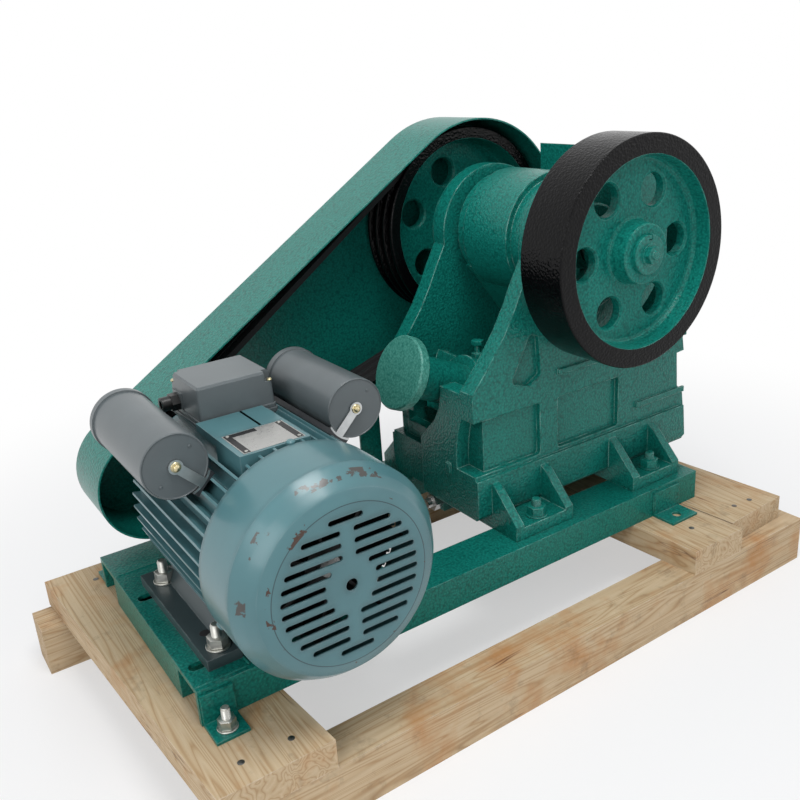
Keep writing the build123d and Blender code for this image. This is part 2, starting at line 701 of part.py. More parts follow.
    # lug that holds the pull rod
    block(body_base_x, body_base_x + 16, -12, 12, rod_z - 11, body_bottom + 2)
    with BuildSketch(across(body_base_x - 1)):
        with Locations((0, rod_z)):
            Circle(rod_radius + seat_gap)
    extrude(amount=18, mode=Mode.SUBTRACT)
save(crusher_body, "crusher_body")


# Toothed plates: a row of vertical ridges across the width
def tooth_line(half, base, tip):
    count = int(2 * half / tooth_pitch)
    margin = half - count * tooth_pitch / 2
    points = [(-half, base)]
    if margin > 0:
        points.append((-half + margin, base))
    for i in range(count):
        left = -half + margin + i * tooth_pitch
        points.append((left + tooth_pitch * 0.5, tip))
        if i < count - 1:
            points.append((left + tooth_pitch, base))
    points.append((half - margin, base))
    if margin > 0:
        points.append((half, base))
    return points


fixed_half = chamber_half - seat_gap
fixed_base_x = fixed_tip_x + tooth_depth
with BuildPart() as fixed_jaw_plate:
    with BuildSketch(Plane(origin=(origin_x, middle_y, deck_z + swing_low_z), x_dir=(0, 1, 0), z_dir=(0, 0, -1))):
        with BuildLine():
            Polyline(*tooth_line(fixed_half, fixed_base_x, fixed_tip_x), (fixed_half, front_wall_inner),
                     (-fixed_half, front_wall_inner), close=True)
        make_face()
    extrude(amount=-(mouth_z - 5 - swing_low_z))
save(fixed_jaw_plate, "fixed_jaw_plate")

# Cheek liners between the jaw plates
for liner_name, near, far in (("cheek_liner_near", -cheek_inner, -chamber_half),
                              ("cheek_liner_far", chamber_half, cheek_inner)):
    with BuildPart() as liner:
        slab([(600, 112), (front_wall_inner, 112), (front_wall_inner, mouth_z - 5), (597, mouth_z - 5),
              (597, 240), (588, 200)], near, far)
    save(liner, liner_name)

# Swing jaw casting on the eccentric
swing_dx = swing_low[0] - swing_top[0]
swing_dz = swing_low[1] - swing_top[1]
swing_length = hypot(swing_dx, swing_dz)
down_dir = (swing_dx / swing_length, swing_dz / swing_length)
inward = (down_dir[1], -down_dir[0])


def off_swing(along, inside):
    x = swing_top[0] + along * down_dir[0] + inside * inward[0]
    return (x, swing_top[1] + along * down_dir[1] + inside * inward[1])


plate_total = plate_body + tooth_depth
toggle_front = on_adjuster(toggle_t[1])
back_front = on_adjuster(toggle_t[1] - 6, 12)
back_low = on_adjuster(toggle_t[1] - 2, -12)
with BuildPart() as swing_jaw:
    disc(shaft_x, shaft_z + throw, head_radius, -head_half, head_half)
    disc(shaft_x, shaft_z + throw, collar_radius, -collar_half, collar_half)
    slab([(shaft_x + 20, shaft_z + throw), off_swing(0, plate_total + seat_gap),
          off_swing(swing_length + 2, plate_total + seat_gap), (585, 84), (566, 88), back_low, back_front,
          (548, 180), (512, 233.8), (478.5, 278.6), (459.5, 300.5)], -swing_half, swing_half)
    disc(shaft_x, shaft_z + throw, eccentric_radius + running_fit, -collar_half - 1, collar_half + 1,
         mode=Mode.SUBTRACT)
    disc(*toggle_front, toggle_end_radius + running_fit, -swing_half - 1, swing_half + 1, mode=Mode.SUBTRACT)
    slab([on_adjuster(toggle_t[1] - 20, 7), toggle_front, on_adjuster(toggle_t[1] - 20, -7)],
         -swing_half - 1, swing_half + 1, mode=Mode.SUBTRACT)
    slab([on_adjuster(toggle_t[1] - 20, 4.5), on_adjuster(toggle_t[1], 4.5), on_adjuster(toggle_t[1], -4.5),
          on_adjuster(toggle_t[1] - 20, -4.5)], -swing_half - 1, swing_half + 1, mode=Mode.SUBTRACT)
save(swing_jaw, "swing_jaw")

swing_plane = Plane(origin=(origin_x + off_swing(0, 0)[0], middle_y, deck_z + off_swing(0, 0)[1]),
                    x_dir=(0, 1, 0), z_dir=(down_dir[0], 0, down_dir[1]))
with BuildPart() as swing_jaw_plate:
    with BuildSketch(swing_plane):
        with BuildLine():
            Polyline(*tooth_line(swing_half, -tooth_depth, 0), (swing_half, -plate_total),
                     (-swing_half, -plate_total), close=True)
        make_face()
    extrude(amount=swing_length)
save(swing_jaw_plate, "swing_jaw_plate")

# Toggle plate, round ended, carried in the swing jaw's socket
toggle_rear = on_adjuster(toggle_t[0])
with BuildPart() as toggle_plate:
    disc(*toggle_rear, toggle_end_radius, -toggle_half, toggle_half)
    disc(*toggle_front, toggle_end_radius, -toggle_half, toggle_half)
    slab([on_adjuster(toggle_t[0], 4), on_adjuster(toggle_t[1], 4), on_adjuster(toggle_t[1], -4),
          on_adjuster(toggle_t[0], -4)], -toggle_half, toggle_half)
save(toggle_plate, "toggle_plate")

with BuildPart() as toggle_seat:
    slab([on_adjuster(seat_t[0], 25), on_adjuster(seat_t[1], 25), on_adjuster(seat_t[1], -25 + seat_gap),
          on_adjuster(seat_t[0], -25 + seat_gap)], -cheek_inner + seat_gap, cheek_inner - seat_gap)
    open_half = toggle_end_radius + toggle_play
    slab([on_adjuster(toggle_t[0], open_half), on_adjuster(seat_t[1] + 1, open_half + 2),
          on_adjuster(seat_t[1] + 1, -open_half - 2), on_adjuster(toggle_t[0], -open_half)],
         -cheek_inner, cheek_inner, mode=Mode.SUBTRACT)
    disc(*toggle_rear, open_half, -cheek_inner, cheek_inner, mode=Mode.SUBTRACT)
save(toggle_seat, "toggle_seat")

# Adjuster sleeve, screw and handwheel
with BuildPart() as adjuster_sleeve:
    adjuster_turned([(sleeve_t[0], screw_radius + running_fit), (sleeve_t[0], sleeve_radius),
                     (sleeve_t[1], sleeve_radius), (sleeve_t[1], screw_radius + running_fit)])
save(adjuster_sleeve, "adjuster_sleeve")

with BuildPart() as adjusting_screw:
    adjuster_turned([(1, 0), (1, screw_radius), (seat_t[0] - seat_gap, screw_radius), (seat_t[0] - seat_gap, 0)])
save(adjusting_screw, "adjusting_screw")

with BuildPart() as adjuster_handwheel:
    adjuster_turned([(0, 0), (0, handwheel_radius - 1.5), (1.5, handwheel_radius),
                     (handwheel_thick - 1.5, handwheel_radius), (handwheel_thick, handwheel_radius - 1.5),
                     (handwheel_thick, screw_radius), (1, screw_radius), (1, 0)])
save(adjuster_handwheel, "adjuster_handwheel")

# Pull rod under the rear wall and its spring
rod_end_x = 470.0
with BuildPart() as tension_rod:
    with BuildSketch(across(body_base_x - 18)):
        with Locations((0, rod_z)):
            Circle(rod_radius)
    extrude(amount=rod_end_x - body_base_x + 18)
    with BuildSketch(across(body_base_x - 10)):
        with Locations((0, rod_z)):
            RegularPolygon(11, 6)
    extrude(amount=10)
save(tension_rod, "tension_rod")

with BuildPart() as tension_spring:
    with BuildSketch(across(back_wall_inner + 6 + 1)):
        with Locations((0, rod_z)):
            Circle(10)
            Circle(rod_radius + running_fit, mode=Mode.SUBTRACT)
    extrude(amount=70)
save(tension_spring, "tension_spring")

# Bearings in the cheeks and their caps
for side_name, side in (("near", -1), ("far", 1)):
    inner = side * cheek_inner
    outer = side * cheek_outer
    cap = side * (cheek_outer + cap_cover_thick)
    with BuildPart() as bearing:
        turned(shaft_x, shaft_z, [(inner, journal_radius + running_fit), (inner, bearing_radius),
                                  (outer, bearing_radius), (outer, journal_radius + running_fit)])
    save(bearing, "bearing_" + side_name)
    with BuildPart() as bearing_cap:
        turned(shaft_x, shaft_z, [(outer, journal_radius + 1), (outer, cap_cover_radius),
                                  (cap - side * 2, cap_cover_radius), (cap, cap_cover_radius - 2),
                                  (cap, journal_radius + 1)])
    save(bearing_cap, "bearing_cap_" + side_name)

# Feed hopper of thin plate on the mouth
hopper_sheet = 3.0
hopper_x = (596.0, mouth_end_x)
hopper_top = 429.5
hopper_low_top = 370.0
hopper_half = cheek_inner + 1.4
with BuildPart() as feed_hopper:
    slab([(hopper_x[0], mouth_z), (hopper_x[1], mouth_z), (hopper_x[1], hopper_low_top),
          (hopper_x[0], hopper_top)], -hopper_half - hopper_sheet, hopper_half + hopper_sheet)
    slab([(hopper_x[0] + hopper_sheet, mouth_z - 1), (hopper_x[1] - hopper_sheet, mouth_z - 1),
          (hopper_x[1] - hopper_sheet, hopper_top + 9), (hopper_x[0] + hopper_sheet, hopper_top + 9)],
         -hopper_half, hopper_half, mode=Mode.SUBTRACT)
save(feed_hopper, "feed_hopper")

# Terminal box with its lid and gland
gland_w = box_w[1] - 18
gland_z = box_z[0] + 16
gland_x = box_x[0]
with BuildPart() as terminal_box:
    with BuildSketch(level(box_z[0])):
        with Locations((sum(box_x) / 2, sum(box_w) / 2)):
            RectangleRounded(box_x[1] - box_x[0] + 2 * box_flange, box_w[1] - box_w[0] + 2 * box_flange, 3)
    extrude(amount=box_base_top - box_z[0])
save(terminal_box, "terminal_box")

with BuildPart() as terminal_box_lid:
    with BuildSketch(level(box_base_top)):
        with Locations((sum(box_x) / 2, sum(box_w) / 2)):
            RectangleRounded(box_x[1] - box_x[0], box_w[1] - box_w[0], 3)
    extrude(amount=4)
    with BuildSketch(level(box_base_top + 4)):
        with Locations((sum(box_x) / 2, sum(box_w) / 2)):
            RectangleRounded(box_x[1] - box_x[0] - 2, box_w[1] - box_w[0] - 2, 3)
    extrude(amount=box_z[1] - box_base_top - 6, taper=1.5)
    with BuildSketch(level(box_z[1] - 2)):
        with Locations((sum(box_x) / 2, sum(box_w) / 2)):
            RectangleRounded(box_x[1] - box_x[0] - 5, box_w[1] - box_w[0] - 5, 3)
    extrude(amount=2, taper=30)
    for side in (-1, 1):
        corner_x = sum(box_x) / 2 - side * (box_x[1] - box_x[0]) / 2
        corner_w = sum(box_w) / 2 + side * (box_w[1] - box_w[0]) / 2
        block(min(corner_x, corner_x + side * (box_notch + 1)), max(corner_x, corner_x + side * (box_notch + 1)),
              min(corner_w, corner_w - side * (box_notch + 1)), max(corner_w, corner_w - side * (box_notch + 1)),
              box_notch_low, box_z[1] + 1, mode=Mode.SUBTRACT)
    block(gland_x, box_x[0] + 8, gland_w - 11, gland_w + 11, gland_z - 9, gland_z + 10)
save(terminal_box_lid, "terminal_box_lid")

with BuildPart() as cable_gland:
    with BuildSketch(across(gland_x)):
        with Locations((gland_w, gland_z)):
            RegularPolygon(9, 6)
    extrude(amount=-8)
    with BuildSketch(across(gland_x - 8)):
        with Locations((gland_w, gland_z)):
            Circle(7)
            Circle(4, mode=Mode.SUBTRACT)
    extrude(amount=-9)
save(cable_gland, "cable_gland")

# Capacitors and their saddles with straps
for side_name, cap_x, cap_near in (("left", cap_left_x, cap_left_near), ("right", cap_right_x, cap_right_near)):
    with BuildPart() as capacitor:
        turned(cap_x, cap_z, [(cap_near + cap_dish, 0), (cap_near + cap_dish, cap_radius - 1.6),
                              (cap_near, cap_radius - 1.2), (cap_near, cap_radius - 0.6),
                              (cap_near + 1, cap_radius), (cap_far - 18, cap_radius), (cap_far - 18, cap_radius + 1.5),
                              (cap_far - 10, cap_radius + 1.5), (cap_far - 4, cap_radius - 6), (cap_far, 8),
                              (cap_far, 0)])
    save(capacitor, "capacitor_" + side_name)
    toward = 1 if cap_x < motor_x else -1
    ux = motor_x - cap_x
    uz = motor_z - cap_z
    reach = hypot(ux, uz)
    ux = ux / reach
    uz = uz / reach
    # rest bar under the capacitor, a strap up each end to the middle screw
    with BuildPart() as saddle:
        slab([(cap_x - rest_half * uz, cap_z + rest_half * ux), (cap_x + rest_half * uz, cap_z - rest_half * ux),
              (cap_x + rest_half * uz + rest_reach * ux, cap_z - rest_half * ux + rest_reach * uz),
              (cap_x - rest_half * uz + rest_reach * ux, cap_z + rest_half * ux + rest_reach * uz)],
             cap_near - strap_thick, cap_far + strap_thick)
        disc(cap_x, cap_z, cap_radius + 1.6, cap_near, cap_far, mode=Mode.SUBTRACT)
        disc(cap_x, cap_z, cap_radius, cap_near - strap_thick, cap_far + strap_thick, mode=Mode.SUBTRACT)
        for low_w in (cap_near - strap_thick, cap_far):
            disc(cap_x, cap_z, strap_eye, low_w, low_w + strap_thick)
            slab([(cap_x - strap_half * uz, cap_z + strap_half * ux), (cap_x + strap_half * uz, cap_z - strap_half * ux),
                  (cap_x + strap_half * uz + (cap_radius + 3) * ux, cap_z - strap_half * ux + (cap_radius + 3) * uz),
                  (cap_x - strap_half * uz + (cap_radius + 3) * ux, cap_z + strap_half * ux + (cap_radius + 3) * uz)],
                 low_w, low_w + strap_thick)
        disc(motor_x, motor_z, fin_radius + 0.05, cap_near - 4, cap_far + 4, mode=Mode.SUBTRACT)
    save(saddle, "capacitor_bracket_" + side_name)
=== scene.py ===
import json
import math
import random

import bmesh
import bpy
from bpy.props import FloatProperty, FloatVectorProperty, IntProperty, PointerProperty
from mathutils import Matrix, Vector


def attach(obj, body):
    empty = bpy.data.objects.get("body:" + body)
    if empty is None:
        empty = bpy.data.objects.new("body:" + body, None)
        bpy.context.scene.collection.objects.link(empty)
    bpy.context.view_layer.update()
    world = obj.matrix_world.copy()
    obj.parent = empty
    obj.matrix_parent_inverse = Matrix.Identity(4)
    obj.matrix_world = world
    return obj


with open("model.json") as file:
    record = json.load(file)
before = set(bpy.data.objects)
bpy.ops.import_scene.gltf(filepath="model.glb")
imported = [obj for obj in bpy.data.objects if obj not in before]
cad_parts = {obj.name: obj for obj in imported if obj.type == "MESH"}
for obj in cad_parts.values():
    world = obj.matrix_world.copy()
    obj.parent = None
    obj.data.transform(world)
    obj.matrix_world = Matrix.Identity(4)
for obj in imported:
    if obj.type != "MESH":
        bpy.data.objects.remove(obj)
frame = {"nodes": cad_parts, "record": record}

bl_info = {
    "name": "Jaw crusher dressing",
    "version": (1, 0, 0),
    "blender": (4, 5, 0),
    "location": "View3D > Sidebar > Crusher",
    "description": "Materials, fasteners, small parts and stage for the jaw crusher",
    "category": "Object",
}

LEFT_X = -338.4
MIDDLE_Y = 15.85
DECK_Z = 85.9

# Places in mm: x from the frame's left end, w from the crusher's middle plane, z from the plank tops
SHAFT = (515.3, 335.4)
MOTOR = (116.3, 136.5)
WHEEL_PAINT_RADIUS = 99.4
PULLEY_PAINT_RADIUS = 105.9
SHAFT_END_W = -187.8
FOOT_STUD_X = (413.0, 597.5)
FOOT_STUD_W = 117.5
FOOT_STUD_Z = 51.0
MOTOR_BOLT_X = (36.3, 196.3)
MOTOR_BOLT_W = (-109.0, 30.8)
MOTOR_FOOT_TOP = 47.5
FOOT_HOLE_X = (34.0, 194.0)
FOOT_HOLE_W = -82.7
ANCHOR_X = 16.5
ANCHOR_W = 161.6
ANCHOR_Z = 3.0
CAPACITOR_Z = 228.0
LEFT_CAPACITOR_X = 25.7
RIGHT_CAPACITOR_X = 206.9
PAD_TOP = 232.0
PLATE_X = (77.0, 135.5)
PLATE_W = (-130.0, -82.0)
COVER_SCREW_W = -139.0
LOCK_BOLT = (430.0, 0.0, 197.0)
CAP_BOLT_CIRCLE = 36
CAP_FACE_W = 101.6
FLANGE_SEAT_W = 87.6

GREEN_LIGHT = (0.010, 0.25, 0.20)
GREEN_DARK = (0.0006, 0.072, 0.058)
MOTOR_BLUE = (0.078, 0.195, 0.215)
KNOTS = {
    "beam_front": ((674.0, -204.8, -28.2, 0.011), (262.0, -204.8, -40.0, 0.008)),
    "plank_left": ((30.0, 40.0, 0.0, 0.012),),
    "plank_inner": ((600.0, 60.0, 0.0, 0.010),),
    "plank_outer": ((690.0, -90.0, 0.0, 0.011),),
}


def at(x, w, z):
    return Vector(((x + LEFT_X) / 1000, (w + MIDDLE_Y) / 1000, (z + DECK_Z) / 1000))


# Shader groups that give masks, colours and normals

def new_group(name, inputs, outputs):
    group = bpy.data.node_groups.new(name, "ShaderNodeTree")
    for label, kind, default in inputs:
        socket = group.interface.new_socket(name=label, in_out="INPUT", socket_type=kind)
        if default is not None:
            socket.default_value = default
    for label, kind in outputs:
        group.interface.new_socket(name=label, in_out="OUTPUT", socket_type=kind)
    return group


def add(tree, kind, **values):
    node = tree.nodes.new(kind)
    for key, value in values.items():
        setattr(node, key, value)
    return node


def link(tree, out, into):
    tree.links.new(out, into)


def math_node(tree, operation, a, b=None, clamp=False):
    node = add(tree, "ShaderNodeMath", operation=operation, use_clamp=clamp)
    for index, value in enumerate((a, b)):
        if value is None:
            continue
        if isinstance(value, (int, float)):
            node.inputs[index].default_value = value
        else:
            link(tree, value, node.inputs[index])
    return node.outputs[0]


def ramp(tree, value, stops):
    node = add(tree, "ShaderNodeValToRGB")
    elements = node.color_ramp.elements
    while len(elements) < len(stops):
        elements.new(0.5)
    for element, (position, colour) in zip(elements, stops):
        element.position = position
        element.color = (*colour, 1.0) if len(colour) == 3 else colour
    link(tree, value, node.inputs[0])
    return node.outputs[0]


def mix_colour(tree, factor, a, b):
    node = add(tree, "ShaderNodeMix", data_type="RGBA")
    for index, value in ((0, factor), (6, a), (7, b)):
        if isinstance(value, (int, float)):
            node.inputs[index].default_value = value
        elif isinstance(value, tuple):
            node.inputs[index].default_value = (*value, 1.0)
        else:
            link(tree, value, node.inputs[index])
    return node.outputs[2]


def noise(tree, vector, scale, detail=3.0, roughness=0.5):
    node = add(tree, "ShaderNodeTexNoise")
    node.inputs["Scale"].default_value = scale
    node.inputs["Detail"].default_value = detail
    node.inputs["Roughness"].default_value = roughness
    link(tree, vector, node.inputs["Vector"])
    return node.outputs["Fac"]


def make_hammer_group():
    group = new_group("HammerPaint",
                      [("Vector", "NodeSocketVector", None),
                       ("Cell", "NodeSocketFloat", 420.0),
                       ("Height", "NodeSocketFloat", 0.25),
                       ("Light", "NodeSocketColor", (0.3, 0.6, 0.5, 1)),
                       ("Dark", "NodeSocketColor", (0.01, 0.07, 0.06, 1)),
                       ("Round", "NodeSocketFloat", 0.0015)],
                      [("Color", "NodeSocketColor"), ("Normal", "NodeSocketVector")])
    inp = add(group, "NodeGroupInput")
    out = add(group, "NodeGroupOutput")
    cells = add(group, "ShaderNodeTexVoronoi", feature="SMOOTH_F1")
    link(group, inp.outputs["Vector"], cells.inputs["Vector"])
    link(group, inp.outputs["Cell"], cells.inputs["Scale"])
    fine = noise(group, inp.outputs["Vector"], 900.0, 2.0)
    broad = noise(group, inp.outputs["Vector"], 9.0, 3.0)
    speck = ramp(group, cells.outputs["Distance"], [(0.10, (1, 1, 1)), (0.75, (0, 0, 0))])
    blend = math_node(group, "MULTIPLY", speck, 0.68)
    blend = math_node(group, "ADD", blend, math_node(group, "MULTIPLY", fine, 0.34))
    drift = math_node(group, "ADD", math_node(group, "MULTIPLY", broad, 0.5), 0.72)
    blend = math_node(group, "MULTIPLY", blend, drift)
    mixed = mix_colour(group, blend, (0.0, 0.0, 0.0), (1.0, 1.0, 1.0))
    node = add(group, "ShaderNodeMix", data_type="RGBA")
    link(group, mixed, node.inputs[0])
    link(group, inp.outputs["Dark"], node.inputs[6])
    link(group, inp.outputs["Light"], node.inputs[7])
    link(group, node.outputs[2], out.inputs["Color"])
    bump = add(group, "ShaderNodeBump")
    bump.inputs["Distance"].default_value = 0.0009
    link(group, inp.outputs["Height"], bump.inputs["Strength"])
    link(group, cells.outputs["Distance"], bump.inputs["Height"])
    rounded = add(group, "ShaderNodeBevel", samples=4)
    link(group, inp.outputs["Round"], rounded.inputs["Radius"])
    link(group, rounded.outputs["Normal"], bump.inputs["Normal"])
    link(group, bump.outputs["Normal"], out.inputs["Normal"])
    return group


def make_wear_group():
    group = new_group("EdgeWearAndHighlight", [("Amount", "NodeSocketFloat", 0.5), ("Scale", "NodeSocketFloat", 60.0)],
                      [("Edge", "NodeSocketFloat"), ("Hollow shade", "NodeSocketFloat")])
    inp = add(group, "NodeGroupInput")
    out = add(group, "NodeGroupOutput")
    geometry = add(group, "ShaderNodeNewGeometry")
    coords = add(group, "ShaderNodeTexCoord")
    grain = add(group, "ShaderNodeTexNoise")
    grain.inputs["Detail"].default_value = 6.0
    link(group, coords.outputs["Object"], grain.inputs["Vector"])
    link(group, inp.outputs["Scale"], grain.inputs["Scale"])
    # Edge: lighter colour at rounded edges in noisy patches, partly edge wear and partly a painted highlight
    # where edges catch the light
    bevel = add(group, "ShaderNodeBevel", samples=4)
    bevel.inputs["Radius"].default_value = 0.0016
    dot = add(group, "ShaderNodeVectorMath", operation="DOT_PRODUCT")
    link(group, bevel.outputs["Normal"], dot.inputs[0])
    link(group, geometry.outputs["Normal"], dot.inputs[1])
    edge = math_node(group, "SUBTRACT", 1.0, dot.outputs["Value"], clamp=True)
    edge = math_node(group, "MULTIPLY", edge, 6.0, clamp=True)
    rough = ramp(group, grain.outputs["Fac"], [(0.40, (0, 0, 0)), (0.62, (1, 1, 1))])
    edge = math_node(group, "MULTIPLY", edge, rough)
    edge = math_node(group, "MULTIPLY", edge, inp.outputs["Amount"], clamp=True)
    link(group, edge, out.inputs["Edge"])
    # Hollow shade: ambient occlusion darkens hollows, corners and gaps between parts in noisy patches, a
    # painted shade
    hollow = add(group, "ShaderNodeAmbientOcclusion", samples=4)
    hollow.inputs["Distance"].default_value = 0.03
    hollow_shade = math_node(group, "SUBTRACT", 1.0, hollow.outputs["AO"], clamp=True)
    hollow_shade = math_node(group, "MULTIPLY", hollow_shade, rough)
    link(group, hollow_shade, out.inputs["Hollow shade"])
    return group


def make_wood_group():
    group = new_group("SawnPine",
                      [("Vector", "NodeSocketVector", None), ("Seed", "NodeSocketFloat", 0.0),
                       ("Stain", "NodeSocketFloat", 0.5)],
                      [("Color", "NodeSocketColor"), ("Height", "NodeSocketFloat")])
    inp = add(group, "NodeGroupInput")
    out = add(group, "NodeGroupOutput")
    shift = add(group, "ShaderNodeCombineXYZ")
    link(group, inp.outputs["Seed"], shift.inputs[1])
    link(group, inp.outputs["Seed"], shift.inputs[2])
    moved = add(group, "ShaderNodeVectorMath", operation="ADD")
    link(group, inp.outputs["Vector"], moved.inputs[0])
    link(group, shift.outputs[0], moved.inputs[1])
    squeeze = add(group, "ShaderNodeMapping")
    squeeze.inputs["Scale"].default_value = (1.2, 26.0, 26.0)
    link(group, moved.outputs[0], squeeze.inputs["Vector"])
    rings = add(group, "ShaderNodeTexNoise")
    rings.inputs["Scale"].default_value = 1.6
    rings.inputs["Detail"].default_value = 2.0
    rings.inputs["Distortion"].default_value = 0.6
    link(group, squeeze.outputs[0], rings.inputs["Vector"])
    bands = math_node(group, "MULTIPLY", rings.outputs["Fac"], 14.0)
    bands = math_node(group, "FRACT", bands)
    bands = math_node(group, "PINGPONG", bands, 0.5)
    fibre_map = add(group, "ShaderNodeMapping")
    fibre_map.inputs["Scale"].default_value = (14.0, 420.0, 420.0)
    link(group, moved.outputs[0], fibre_map.inputs["Vector"])
    fibre = noise(group, fibre_map.outputs[0], 1.0, 4.0, 0.65)
    base = ramp(group, bands, [(0.0, (0.66, 0.52, 0.34)),
                               (0.35, (0.58, 0.43, 0.26)),
                               (0.5, (0.44, 0.28, 0.14))])
    tinted = mix_colour(group, math_node(group, "MULTIPLY", fibre, 0.55), base, (0.36, 0.25, 0.14))
    blotch = noise(group, moved.outputs[0], 14.0, 4.0, 0.6)
    blotch = ramp(group, blotch, [(0.50, (0, 0, 0)), (0.72, (1, 1, 1))])
    stain = math_node(group, "MULTIPLY", blotch, inp.outputs["Stain"])
    stained = mix_colour(group, stain, tinted, (0.46, 0.20, 0.055))
    grime = noise(group, moved.outputs[0], 38.0, 6.0, 0.7)
    grime = ramp(group, grime, [(0.56, (0, 0, 0)), (0.74, (1, 1, 1))])
    dirty = mix_colour(group, math_node(group, "MULTIPLY", grime, 0.45), stained, (0.15, 0.10, 0.055))
    split_map = add(group, "ShaderNodeMapping")
    split_map.inputs["Scale"].default_value = (2.2, 60.0, 60.0)
    link(group, moved.outputs[0], split_map.inputs["Vector"])
    line = noise(group, split_map.outputs[0], 1.0, 2.0)
    line = ramp(group, line, [(0.490, (0, 0, 0)), (0.5, (1, 1, 1)), (0.510, (0, 0, 0))])
    where = noise(group, moved.outputs[0], 7.0, 2.0)
    where = ramp(group, where, [(0.50, (0, 0, 0)), (0.60, (1, 1, 1))])
    split = math_node(group, "MULTIPLY", line, where)
    cracked = mix_colour(group, math_node(group, "MULTIPLY", split, 0.85), dirty, (0.10, 0.035, 0.015))
    link(group, cracked, out.inputs["Color"])
    height = math_node(group, "MULTIPLY", fibre, 0.7)
    height = math_node(group, "ADD", height, math_node(group, "MULTIPLY", bands, 0.4))
    height = math_node(group, "SUBTRACT", height, math_node(group, "MULTIPLY", split, 0.8))
    link(group, height, out.inputs["Height"])
    return group


def new_material(name):
    material = bpy.data.materials.new(name)
    material.use_nodes = True
    tree = material.node_tree
    tree.nodes.clear()
    shader = add(tree, "ShaderNodeBsdfPrincipled")
    output = add(tree, "ShaderNodeOutputMaterial")
    link(tree, shader.outputs[0], output.inputs["Surface"])
    coords = add(tree, "ShaderNodeTexCoord")
    return material, tree, shader, coords.outputs["Object"]


def group_node(tree, name):
    node = add(tree, "ShaderNodeGroup")
    node.node_tree = bpy.data.node_groups[name]
    return node


def hammered(name, light, dark, rough=0.3, height=0.4, edge_colour=(0.36, 0.68, 0.60), edge_light_and_wear=0.35,
             rounding=0.0012):
    material, tree, shader, place = new_material(name)
    paint = group_node(tree, "HammerPaint")
    link(tree, place, paint.inputs["Vector"])
    paint.inputs["Light"].default_value = (*light, 1)
    paint.inputs["Dark"].default_value = (*dark, 1)
    paint.inputs["Height"].default_value = height
    paint.inputs["Round"].default_value = rounding
    wear_and_light = group_node(tree, "EdgeWearAndHighlight")
    wear_and_light.inputs["Amount"].default_value = edge_light_and_wear
    # Lighter edges are wear and a painted highlight; darker hollows are painted shade
    colour = mix_colour(tree, wear_and_light.outputs["Edge"], paint.outputs["Color"], edge_colour)
    hollow_shade = math_node(tree, "MULTIPLY", wear_and_light.outputs["Hollow shade"], 0.35)
    colour = mix_colour(tree, hollow_shade, colour, (0.02, 0.05, 0.045))
    link(tree, colour, shader.inputs["Base Color"])
    link(tree, paint.outputs["Normal"], shader.inputs["Normal"])
    shader.inputs["Roughness"].default_value = rough
    shader.inputs["Specular IOR Level"].default_value = 0.26
    shader.inputs["Coat Weight"].default_value = 0.05
    shader.inputs["Coat Roughness"].default_value = 0.12
    return material


def painted(name, colour, rough=0.3, coat=0.5, edge_light_and_wear=0.3, edge_colour=(0.6, 0.65, 0.66), bump=0.08,
            scale=130.0, rounding=0.0006, shine=0.4):
    material, tree, shader, place = new_material(name)
    blotch = noise(tree, place, 22.0, 4.0)
    low = tuple(c * 0.78 for c in colour)
    high = tuple(min(c * 1.12, 1) for c in colour)
    shade = mix_colour(tree, blotch, low, high)
    wear_and_light = group_node(tree, "EdgeWearAndHighlight")
    wear_and_light.inputs["Amount"].default_value = edge_light_and_wear
    # Lighter edges are wear and a painted highlight; darker hollows are painted shade
    shade = mix_colour(tree, wear_and_light.outputs["Edge"], shade, edge_colour)
    shade = mix_colour(tree, math_node(tree, "MULTIPLY", wear_and_light.outputs["Hollow shade"], 0.4), shade,
                       tuple(c * 0.3 for c in colour))
    link(tree, shade, shader.inputs["Base Color"])
    bumps = add(tree, "ShaderNodeBump")
    bumps.inputs["Strength"].default_value = bump
    bumps.inputs["Distance"].default_value = 0.0005
    link(tree, noise(tree, place, scale, 3.0), bumps.inputs["Height"])
    rounded = add(tree, "ShaderNodeBevel", samples=4)
    rounded.inputs["Radius"].default_value = rounding
    link(tree, rounded.outputs["Normal"], bumps.inputs["Normal"])
    link(tree, bumps.outputs["Normal"], shader.inputs["Normal"])
    shader.inputs["Roughness"].default_value = rough
    shader.inputs["Coat Weight"].default_value = coat
    shader.inputs["Coat Roughness"].default_value = 0.15
    shader.inputs["Specular IOR Level"].default_value = shine
    return material


def bare_metal(name, colour, rough=0.35, streak=(60.0, 60.0, 60.0), rust=0.0):
    material, tree, shader, place = new_material(name)
    stretched = add(tree, "ShaderNodeMapping")
    stretched.inputs["Scale"].default_value = streak
    link(tree, place, stretched.inputs["Vector"])
    grain = noise(tree, stretched.outputs[0], 4.0, 5.0, 0.6)
    shade = mix_colour(tree, grain, tuple(c * 0.7 for c in colour), colour)
    spots = ramp(tree, noise(tree, place, 55.0, 5.0, 0.65), [(0.50, (0, 0, 0)), (0.66, (1, 1, 1))])
    shade = mix_colour(tree, math_node(tree, "MULTIPLY", spots, rust), shade, (0.22, 0.10, 0.045))
    link(tree, shade, shader.inputs["Base Color"])
    roughness = ramp(tree, grain, [(0.3, (rough * 0.75,) * 3), (0.7, (rough * 1.25,) * 3)])
    link(tree, roughness, shader.inputs["Roughness"])
    shader.inputs["Metallic"].default_value = 1.0 if rust < 0.5 else 0.8
    return material


